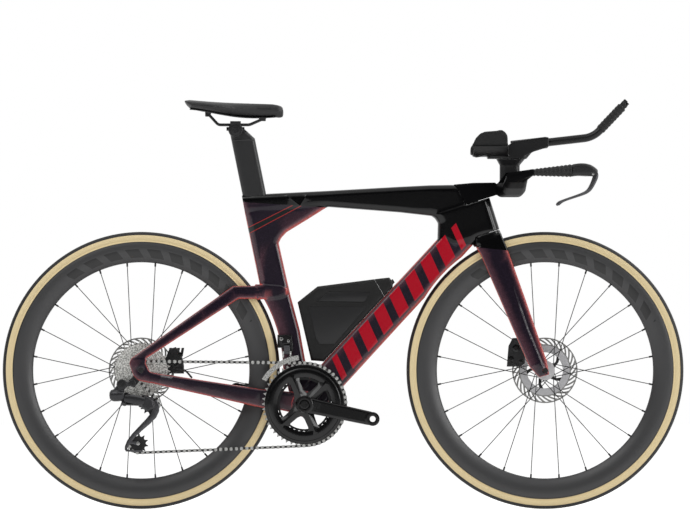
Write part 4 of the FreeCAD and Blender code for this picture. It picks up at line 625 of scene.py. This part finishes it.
# The stem runs into the bar without a gap
stem_fill = ((352, 790), (375.5, 792.8), (397.5, 819.6), (412, 819.6), (412, 778), (390.2, 762.3),
             (366, 768))
piece("cockpit_moulding", moulded(("stem", "base_bar"), 1.8, 5, (plate, stem_fill, -22, 44, 1)), "steering",
      black_lacquer, ("stem", "base_bar"), 50)
# Each arm tray rises into the clamp of its extension
tray = ((315.7, 872), (315.7, 861), (324.3, 857.4), (350, 861), (380.4, 856.2), (431.6, 855), (465.8, 872),
        (501, 883), (501, 906.5), (490, 907.2), (414.6, 896.5), (402.4, 886.7), (341.4, 878))
trays = ((plate, tray, -88, 23, 1), (plate, tray, 65, 23, 1))
piece("arm_tray_moulding", moulded(("extension_bridge", "arm_cups"), 1.4, 3, *trays), "steering",
      satin_black, ("extension_bridge", "arm_cups"), 50)
piece("bar_grip_wraps", ribbed(moulded(("bar_grips",), 1.2, 3), bar_way, 10, 0.7), "steering",
      grip_rubber, ("bar_grips",), 50)
for name in ("right", "left"):
    wrap = ribbed(moulded(("extension_grip_" + name,), 1.0, 2), tip_way, 10, 0.5)
    piece("extension_wrap_" + name, wrap, "extension_" + name, grip_rubber,
          ("extension_grip_" + name,), 50)
# A seam runs round the post below its head
post = creased(moulded(("seatpost",), 1.2, 5), ((-290, 900.5), (-200, 900.5)), -0.9, 1.4, 1.4)
piece("seatpost_moulding", post, "seatpost", satin_carbon, ("seatpost",), 50)
for name, node, voxel, rounds, body, slot, material in (
        ("riser_moulding", "riser_post", 1.2, 3, "steering", "black_carbon", satin_carbon),
        ("hood_mouldings", "brake_hoods", 1.2, 5, "steering", "grip_rubber", smooth_nylon),
        ("saddle_clamp_forging", "saddle_clamp", 1.0, 3, "saddle_clamp", "black_anodised", black_anodised),
        ("saddle_shell_moulding", "saddle_shell", 1.0, 4, "saddle", "black_plastic", smooth_nylon)):
    piece(name, moulded((node,), voxel, rounds), body, material, (node,), 50)


# Brake levers: a curved blade with a rolled tip
smoothed = ("SUBSURF", {"levels": 2, "render_levels": 2})
lever_path = ((609, 824, 4.6, 6), (615, 819, 5.6, 6.4), (616.6, 811, 6.2, 6), (611.4, 798, 6.6, 5.2),
              (603, 781, 7, 4.6), (594.5, 772.5, 7.2, 4.2), (578, 766, 7.2, 3.7), (553.6, 758, 7, 3.3),
              (536, 751.8, 6.6, 3.2), (528, 747.5, 6.4, 4.4), (524, 743, 5.4, 4.2), (522, 740.5, 3, 2.2))
for side, name in ((-1, "right"), (1, "left")):
    lever = bmesh.new()
    swept(lever, [(x, side * 190, z, wide, high) for x, z, wide, high in lever_path], 10)
    blade = applied(settled("lever", lever), smoothed)
    piece("lever_blade_" + name, blade, "brake_lever_" + name, grey_alloy,
          ("brake_lever_" + name,), 60)

# Cranks, mechs and calipers: forgings with rounded edges
right = -across
motor = (((0, 0), (8, 1), (13, 5), (15, 11), (15.5, 20), (15, 30), (13, 36), (0, 38)),
         aimed((-570, -78, 277), (1, 0, 0.05)), 32)
pivot_barrel = (((0, -16), (7, -16), (7, 16), (0, 16)), aimed((-530.5, -72, 268), (0.262, 0.530, 0.807)), 24)
upper_barrel = (((0, 0), (12, 0), (12, 28), (0, 28)), aimed((-539.5, -66, 304.7), right), 32)
hanger_eye = (((0, 0), (8.6, 0), (8.6, 9), (0, 9)), aimed((-513.5, -80.5, 307.3), right), 24)
hanger_arm = ((-552, -80, 284, 9, 11), (-541, -81, 298, 9, 11), (-528, -84, 305, 4, 7),
              (-513, -84, 307.3, 4, 7))
knuckle_forms = ((turned, *motor), (turned, *pivot_barrel), (turned, *upper_barrel), (turned, *hanger_eye),
                 (swept, hanger_arm, 12))
knuckle_face = ((-494, 270), (-480, 277), (-464, 264), (-460, 248), (-476, 239), (-490, 248))
link_cover = ((-534, -86, 271, 3.5, 9), (-520, -92, 270, 3.5, 12), (-502, -98, 267, 3.5, 12),
              (-484, -103, 264, 3, 9))
knuckle_dome = (((0, -18), (13, -18), (15, -6), (14, 2), (10, 4.5), (0, 5)), aimed((-474, -90, 256), right),
                32)
fins = []
for shift in (0, 10, 20, 30):
    fin = ((-428 + shift, 372), (-421.5 + shift, 372), (-418 + shift, 393), (-424.5 + shift, 393))
    fins.append((plate, fin, 44, 22, 0.8))
shifter_cover = ((-159, 423), (-140, 426), (-125, 419), (-123, 404), (-150, 400))
for node, voxel, rounds, body, slot, material, forms in (
        ("crank_arm_right", 1.1, 3, "crankset", "black_anodised", gloss_anodised, ()),
        ("crank_arm_left", 1.1, 3, "crankset", "black_anodised", gloss_anodised, ()),
        ("rd_outer_link", 0.7, 4, "rd_outer_link", "grey_composite", dark_alloy, ((swept, link_cover, 12),)),
        ("rd_inner_link", 0.7, 3, "rd_inner_link", "grey_composite", black_anodised, ()),
        ("rd_p_knuckle", 0.8, 4, "rd_p_knuckle", "grey_composite", dark_alloy,
         ((turned, *knuckle_dome), (plate, knuckle_face, -90, -13, 3))),
        ("fd_body", 0.8, 3, "frame", "grey_composite", gloss_anodised,
         ((plate, shifter_cover, -41, -4, 1.5),)),
        ("rear_caliper", 0.9, 2, "frame", "black_anodised", black_anodised, fins),
        ("front_caliper", 0.9, 2, "steering", "black_anodised", black_anodised, ())):
    piece(node + "_forging", moulded((node,), voxel, rounds, *forms), body, material, (node,), 50)

piece("rd_knuckle_forging", moulded((), 0.8, 4, *knuckle_forms), "frame", dark_alloy,
      ("rd_knuckle",), 50)

# Derailleur cage: two slim bent plates with an open foot
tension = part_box("tension_pulley")
tension_spot = (tension[0] + tension[1]) * 500
cage = bmesh.new()
bend = ((-463, 262, 10), (-456.5, 250, 9.5), (-457, 241, 9.5), (-462.6, 228, 9), (-476, 213.3, 8),
        (-493, 197.4, 6.8), (-510, 180.3, 6), (-522.4, 164.5, 5.4), (-528.5, 151, 4.4), (-529.5, 143.7, 3))
foot = ((-530, 143.5, 3), (-510, 141.6, 2.6), (-488, 142, 2.6))
strut = ((-522, 163, 4), (-511, 161.5, 3.4), (tension_spot.x, tension_spot.z, 5.5))
for y in (-72.2, -59.8):
    for path in (bend, foot, strut):
        swept(cage, [(x, y, z, 1.4, high) for x, z, high in path], 10)
cage_mesh = applied(settled("cage", cage), ("REMESH", {"mode": "VOXEL", "voxel_size": 0.0007}),
                    ("SMOOTH", {"factor": 0.5, "iterations": 2}))
piece("cage_plates", cage_mesh, "rd_cage", grey_alloy, ("rd_cage",), 50)

# Spider: four ridged arms on the outer face of the chainring
spider = bmesh.new()
crank_angle = -12
spider_rows = ((14, 20, -50, -61), (34, 13, -50.5, -60), (56, 12, -50, -57), (72, 19, -50.2, -54),
               (88, 30, -50.4, -51.6))
for turn in (57, 126, -57, -126):
    angle = math.radians(crank_angle + turn)
    out = Vector((math.cos(angle), 0, math.sin(angle)))
    aside = Vector((-out.z, 0, out.x))
    rows = []
    for reach, half, low, high in spider_rows:
        edge = bracket + out * reach
        spots = [edge + aside * half * k + across * y for k, y in ((-1, low), (0, high), (1, low))]
        rows.append([spider.verts.new(mm(spot)) for spot in spots])
    for before, after in zip(rows, rows[1:]):
        for i in (0, 1):
            spider.faces.new((before[i], before[i + 1], after[i + 1], after[i]))
bmesh.ops.recalc_face_normals(spider, faces=spider.faces)
bmesh.ops.solidify(spider, geom=spider.faces[:], thickness=0.0012)
spider_mesh = applied(settled("spider", spider), ("BEVEL", {"width": 0.0008, "segments": 2}))
piece("spider_ridges", spider_mesh, "crankset", gloss_anodised, (), 30)
# A dished cover over the outer chainring, with a groove near its rim
dish = bmesh.new()
dish_section = ((66, 49.6), (66.5, 52.4), (69, 53.2), (82, 53), (88, 52), (89, 51.2), (90, 52), (95, 51),
                (96.4, 49.6))
turned(dish, dish_section, aimed(bracket, right), 120, closed=True)
piece("chainring_cover", settled("dish", dish), "crankset", gloss_anodised, (), 30)

# Storage box: edges broken, with two panels on each flank
piece("storage_box_shell", edged("storage_box", 1.2), "frame", black_nylon,
      ("storage_box",), 35)
panels = bmesh.new()
main_panel = ((-83.9, 493), (55.8, 493), (-21, 402.8), (-57.6, 402.8), (-66.6, 418))
lid_panel = ((-60, 507), (-33, 529.5), (64, 528), (69, 523), (50.5, 505.5))
for side in (-1, 1):
    plate(panels, main_panel, side * 22.6, side * 1.6, 1.0)
    plate(panels, lid_panel, side * 21.2, side * 1.0, 0.6)
# Behind the nose cap's seam, and the clip at its tip
plate(panels, ((64, 550), (74, 553), (95, 524), (86, 519)), -18, 36, 0.5)
plate(panels, ((113, 556), (121, 561), (126, 553), (119, 545)), -7, 14, 1)
piece("storage_box_panels", settled("panels", panels), "frame", smooth_nylon, (), 35)


# Fixings
clamp_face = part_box("saddle_clamp")[0].y * 1000
hood_pins = [((607.9, side * 190 + out * 12, 816.5), (0, out, 0), 3, 1)
             for side in (-1, 1) for out in (-1, 1)]
fixings = (
    ("frame_fixings", "frame", black_anodised,
     (((-539.5, -94, 304.7), right, 10.5, 2), ((-513.5, -89.5, 307.3), right, 7, 1.6))),
    ("cage_fixings", "rd_cage", turned_steel,
     (((tension_spot.x, -73.4, tension_spot.z), right, 4.2, 1.4),)),
    ("saddle_fixings", "saddle_clamp", black_anodised,
     (((clamp.x, clamp_face, clamp.z), right, 13, 2), ((clamp.x, -clamp_face, clamp.z), across, 13, 2),
      ((clamp.x - 18, -7, clamp.z + 2), (-1, 0, 0), 4.6, 4),
      ((clamp.x + 18, -7, clamp.z + 2), (1, 0, 0), 4.6, 4))),
    ("hood_fixings", "steering", turned_steel, hood_pins),
    ("shifter_fixings", "frame", turned_steel,
     (((-151, -44.5, 415), right, 4.2, 1.4), ((-133, -44.5, 410), right, 3.4, 1.2))),
    ("front_caliper_fixings", "steering", gloss_anodised,
     (((422, 24.4, 392), right, 9, 1.6), ((410, 24.4, 366), right, 7, 1.6),
      ((434, 24.4, 360), right, 5, 1.4))),
    ("rear_caliper_fixings", "frame", gloss_anodised,
     (((-411, 40.4, 352), right, 9, 1.6), ((-398, 40.4, 376), right, 6, 1.4))),
)
for name, body, material, heads in fixings:
    bm = bmesh.new()
    for point, direction, radius, height in heads:
        bolt(bm, point, direction, radius, height)
    piece(name, settled(name, bm), body, material, (), 35)


# Chain: waisted plates, with a painted highlight at the pins and painted shade at their waists
def waisted(bm):
    """Draws in each link at its middle, and stores for the painted highlight and shade how far a point lies
    from there: 0, up to 1 at a pin.
    """
    bmesh.ops.dissolve_limit(bm, angle_limit=math.radians(0.4), verts=bm.verts, edges=bm.edges)
    layer = bm.verts.layers.float.new("from_waist")
    half = chain_pitch / 2000
    seen = set()
    links = []
    for start in bm.verts:
        if start in seen:
            continue
        seen.add(start)
        link = [start]
        for vertex in link:
            for edge in vertex.link_edges:
                other = edge.other_vert(vertex)
                if other not in seen:
                    seen.add(other)
                    link.append(other)
        links.append(link)
    for link in links:
        low = Vector(map(min, *(v.co for v in link)))
        high = Vector(map(max, *(v.co for v in link)))
        middle = (low + high) / 2
        far = max(link, key=lambda v: (v.co.x - middle.x) ** 2 + (v.co.z - middle.z) ** 2)
        way = Vector((far.co.x - middle.x, 0, far.co.z - middle.z)).normalized()
        rise = way.cross(across)
        geom = link + list({e for v in link for e in v.link_edges})
        geom += list({f for v in link for f in v.link_faces})
        for cut in (-0.4, 0, 0.4):
            spot = middle + way * half * cut
            geom = bmesh.ops.bisect_plane(bm, geom=geom, dist=1e-7, plane_co=spot, plane_no=way)["geom"]
        for vertex in geom:
            if isinstance(vertex, bmesh.types.BMVert):
                out = min(1, abs((vertex.co - middle).dot(way)) / half)
                vertex[layer] = out
                vertex.co -= rise * (vertex.co - middle).dot(rise) * 0.34 * max(0, 1 - (out / 0.7) ** 2)
    return bm


chain_painted_light_finish, tree, shader, place = start_material("chain_steel_plated_painted_light")
reach = add(tree, "Attribute", {}, attribute_name="from_waist")["Fac"]
# Painted light: a painted highlight towards the pins, and painted shade where the plates shade their waists
shine = add(tree, "MapRange", {0: reach, 1: 0.25, 2: 0.75}, interpolation_type="SMOOTHSTEP")[0]
# Smears of oil about 3 mm long
smear = add(tree, "TexNoise", {"Vector": place["Object"], "Scale": 300.0})[0]
pin_highlight_colour = add(tree, "Mix", {0: smear, 6: ink("#8c8c8a"), 7: ink("#d9d9d6")}, data_type="RGBA")[2]
colour = add(tree, "Mix", {0: shine, 6: ink("#2b2b2b"), 7: pin_highlight_colour}, data_type="RGBA")[2]
plug(tree, shader, {"Base Color": colour, "Metallic": 0.6, "Roughness": 0.3})
piece("chain_links", settled("chain", waisted(copied("chain"))), "frame", chain_painted_light_finish,
      ("chain",), 35)


# Soft pieces
def plumped(mesh, grid, cap):
    """A closed mesh blown up as a tight cover over foam: grid and cap, the furthest a point moves, in mm."""
    fine = applied(mesh, ("REMESH", {"mode": "VOXEL", "voxel_size": grid / 1000}))
    rest = [vertex.co.copy() for vertex in fine.vertices]
    work = bpy.data.objects.new("work", fine)
    scene.collection.objects.link(work)
    cloth = work.modifiers.new("cloth", "CLOTH")
    cloth.settings.use_pressure = True
    cloth.settings.uniform_pressure_force = 4.0
    cloth.settings.effector_weights.gravity = 0.0
    cloth.point_cache.frame_start = 1
    cloth.point_cache.frame_end = 20
    for step in range(1, 21):
        scene.frame_set(step)
    ready = work.evaluated_get(bpy.context.evaluated_depsgraph_get())
    full = bpy.data.meshes.new_from_object(ready)
    bpy.data.objects.remove(work)
    scene.frame_set(1)
    for vertex, start in zip(full.vertices, rest):
        move = vertex.co - start
        if move.length > cap / 1000:
            vertex.co = start + move.normalized() * cap / 1000
    fine = full
    return applied(fine, ("SMOOTH", {"factor": 0.5, "iterations": 3}),
                   ("SUBSURF", {"levels": 1, "render_levels": 1}))


def saddle_form():
    """The saddle's padding, lofted through rings along its length."""
    stations = ((-125, 30, 72.5, 69.5), (-119, 45, 72.4, 60), (-109, 57, 71.6, 50.5), (-84, 63, 69.6, 45.5),
                (-58, 63, 67.6, 41), (-28, 54, 65.8, 35.5), (0, 42, 64.6, 32), (52, 26.5, 63.4, 30.5),
                (92, 21, 62.4, 31), (108, 18, 60.2, 29.5), (115.5, 13, 55.5, 31), (117.5, 8, 48, 37))
    bm = bmesh.new()
    loops = []
    for dx, half, top, low in stations:
        ring = bmesh.ops.create_circle(bm, segments=32, radius=1)["verts"]
        shoulder = top - 0.36 * (top - low)
        for vertex in ring:
            wide, high = vertex.co.x, vertex.co.y
            y = half * math.copysign(abs(wide) ** 0.8, wide)
            z = shoulder + (top - shoulder) * high if high > 0 else shoulder + (shoulder - low) * high
            vertex.co = mm(clamp + Vector((dx, y, z)))
        loops.append(list({edge for vertex in ring for edge in vertex.link_edges}))
    for before, after in zip(loops, loops[1:]):
        bmesh.ops.bridge_loops(bm, edges=before + after)
    bmesh.ops.holes_fill(bm, edges=bm.edges)
    return settled("saddle_form", bm)


saddle = plumped(saddle_form(), 3.0, 0.8)
# A relief channel along the middle, fading out towards both ends
upward = [vertex.normal.z for vertex in saddle.vertices]
for vertex, rise in zip(saddle.vertices, upward):
    spot = vertex.co * 1000 - clamp
    if abs(spot.y) < 10 and rise > 0.3:
        fade = max(0, min(1, (spot.x + 86) / 40)) * max(0, min(1, (112 - spot.x) / 24))
        vertex.co.z -= 0.006 * fade * math.cos(spot.y / 10 * math.pi / 2) ** 2
cover = piece("saddle_padding", saddle, "saddle", saddle_skin, ("saddle_cover",), 60)


def pad_form(side):
    """One arm pad: a band bent to a trough, its ends trimmed to the side view, then thickened."""
    axis = bar_centre + Vector((0, side * 76, 121.3))
    bm = bmesh.new()
    count = 12
    foam = 0.0105
    verts = [bm.verts.new(mm(axis + Vector((-88 + 95 * i / count, -50.9, 0)))) for i in range(count + 1)]
    edges = [bm.edges.new(pair) for pair in zip(verts, verts[1:])]
    bmesh.ops.spin(bm, geom=verts + edges, cent=mm(axis), axis=(1, 0, 0), angle=math.pi, steps=26)
    for flank in (-1, 1):
        lip = [e for e in bm.edges if e.is_boundary
               and all(abs(v.co.z - axis.z / 1000) < 1e-5 for v in e.verts)
               and (e.verts[0].co.y * 1000 - axis.y) * flank > 0]
        for _ in range(3):
            grown = bmesh.ops.extrude_edge_only(bm, edges=lip)["geom"]
            tips = [g for g in grown if isinstance(g, bmesh.types.BMVert)]
            bmesh.ops.translate(bm, verts=tips, vec=mm((0, 0, 5)))
            lip = [g for g in grown
                   if isinstance(g, bmesh.types.BMEdge) and all(v in tips for v in g.verts)]
    outline = ((-86, 86), (-73.7, 113), (-65, 123.5), (-54, 128), (-11.4, 132.5), (-3, 129), (3.2, 119),
               (6, 96))
    for (x1, z1), (x2, z2) in zip(outline, outline[1:]):
        out = Vector((-(z2 - z1), 0, x2 - x1))
        bmesh.ops.bisect_plane(bm, geom=bm.verts[:] + bm.edges[:] + bm.faces[:], dist=1e-7,
                               plane_co=mm(bar_centre + Vector((x1, 0, z1))), plane_no=out,
                               clear_outer=True)
    bmesh.ops.recalc_face_normals(bm, faces=bm.faces)
    inward = bm.faces[0].normal.dot(bm.faces[0].calc_center_median() - mm(axis)) < 0
    bmesh.ops.solidify(bm, geom=bm.faces[:], thickness=-foam if inward else foam)
    return settled("pad_form", bm)


for side, name in ((-1, "right"), (1, "left")):
    pad = piece("arm_pad_" + name, plumped(pad_form(side), 4.0, 1.0), "steering", pad_cloth,
                ("arm_pads",) if side < 0 else (), 60)

# Finishes of the CAD pieces that keep their shape
finishes = {
    "bottom_bracket_cups": black_anodised, "headset_bearings": turned_steel,
    "rear_thru_axle": black_anodised, "front_thru_axle": black_anodised, "saddle_rails": satin_black,
    "extension_right": satin_black, "extension_left": satin_black, "shift_button_right": smooth_nylon,
    "shift_button_left": smooth_nylon, "rear_brake_pads": grey_alloy, "front_brake_pads": grey_alloy,
    "front_spokes": black_steel, "rear_spokes": black_steel, "front_hub": pale_alloy,
    "rear_hub": black_anodised, "cassette": cassette_finish, "chainrings": ring_finish,
    "derailleur_hanger": black_anodised, "guide_pulley": smooth_nylon, "tension_pulley": smooth_nylon,
    "fd_link": grey_alloy, "fd_cage": plated_steel,
}
for node, material in finishes.items():
    for slot in nodes[node].material_slots:
        slot.material = material


# Stage: a white floor and backdrop, with soft lamps on the camera's side, behind and ahead
def backdrop_rays(tree):
    """1 for rays from the camera, off what shines or through glass, and 1 for the camera's rays alone."""
    ray = tree.nodes.new("ShaderNodeLightPath").outputs
    seen = ray["Is Camera Ray"]
    for kind in ("Is Glossy Ray", "Is Transmission Ray"):
        seen = add(tree, "Math", {0: seen, 1: ray[kind]}, operation="MAXIMUM")[0]
    return seen, ray["Is Camera Ray"]


floor_mesh = bmesh.new()
bmesh.ops.create_grid(floor_mesh, x_segments=1, y_segments=1, size=30.0)
floor = bpy.data.objects.new("floor", settled("floor", floor_mesh))
scene.collection.objects.link(floor)
floor_material, floor_tree, floor_shader, _ = start_material("studio_floor_white")
floor_seen, _ = backdrop_rays(floor_tree)
floor_glow = add(floor_tree, "Math", {0: floor_seen, 1: 0.62}, operation="MULTIPLY")[0]
plug(floor_tree, floor_shader, {"Base Color": ink("#f4f4f4"), "Roughness": 0.9, "Specular IOR Level": 0.0,
                                "Emission Color": (1, 1, 1, 1), "Emission Strength": floor_glow})
floor.data.materials.append(floor_material)

world = bpy.data.worlds.new("studio")
scene.world = world
world.use_nodes = True
sky = world.node_tree
sky.nodes.clear()
seen, from_camera = backdrop_rays(sky)
# What shines sees a white room: bright behind, above and ahead of the object, dim round the camera
way = add(sky, "SeparateXYZ", {0: sky.nodes.new("ShaderNodeTexCoord").outputs["Generated"]})
behind = add(sky, "MapRange", {0: way["Y"], 1: -0.2, 2: 0.4, 3: 0.03, 4: 1.0})[0]
ahead = add(sky, "MapRange", {0: way["X"], 1: 0.7, 2: 0.85, 4: 0.9})[0]
above = add(sky, "MapRange", {0: way["Z"], 1: 0.35, 2: 0.8})[0]
# A tall bright panel ahead draws fine lines of light down rounded front edges
beside = add(sky, "Math", {0: way["Y"], 1: 0.34}, operation="ADD")[0]
beside = add(sky, "Math", {0: beside}, operation="ABSOLUTE")[0]
panel = add(sky, "MapRange", {0: beside, 1: 0.22, 2: 0.12, 4: 6.0})[0]
forward = add(sky, "MapRange", {0: way["X"], 1: 0.5, 2: 0.6})[0]
panel = add(sky, "Math", {0: panel, 1: forward}, operation="MULTIPLY")[0]
room = behind
for brightness in (above, ahead, panel, from_camera):
    room = add(sky, "Math", {0: room, 1: brightness}, operation="MAXIMUM")[0]
level = add(sky, "Mix", {0: seen, 2: 0.5, 3: room})[0]
glow = add(sky, "Background", {"Color": (1, 1, 1, 1), "Strength": level})[0]
add(sky, "OutputWorld", {"Surface": glow})

for name, spot, size, power in (("key", (-2.2, -3.0, 4.2), 3.0, 80.0), ("rim", (2.5, 2.5, 3.5), 2.5, 50.0),
                                ("front", (3.4, -3.0, 1.4), 1.2, 30.0)):
    lamp = bpy.data.objects.new(name, bpy.data.lights.new(name, "AREA"))
    lamp.data.size = size
    lamp.data.energy = power
    lamp.location = spot
    lamp.rotation_euler = (Vector((0, 0, 0.5)) - Vector(spot)).to_track_quat("-Z", "Y").to_euler()
    scene.collection.objects.link(lamp)

scene.view_settings.view_transform = "Standard"
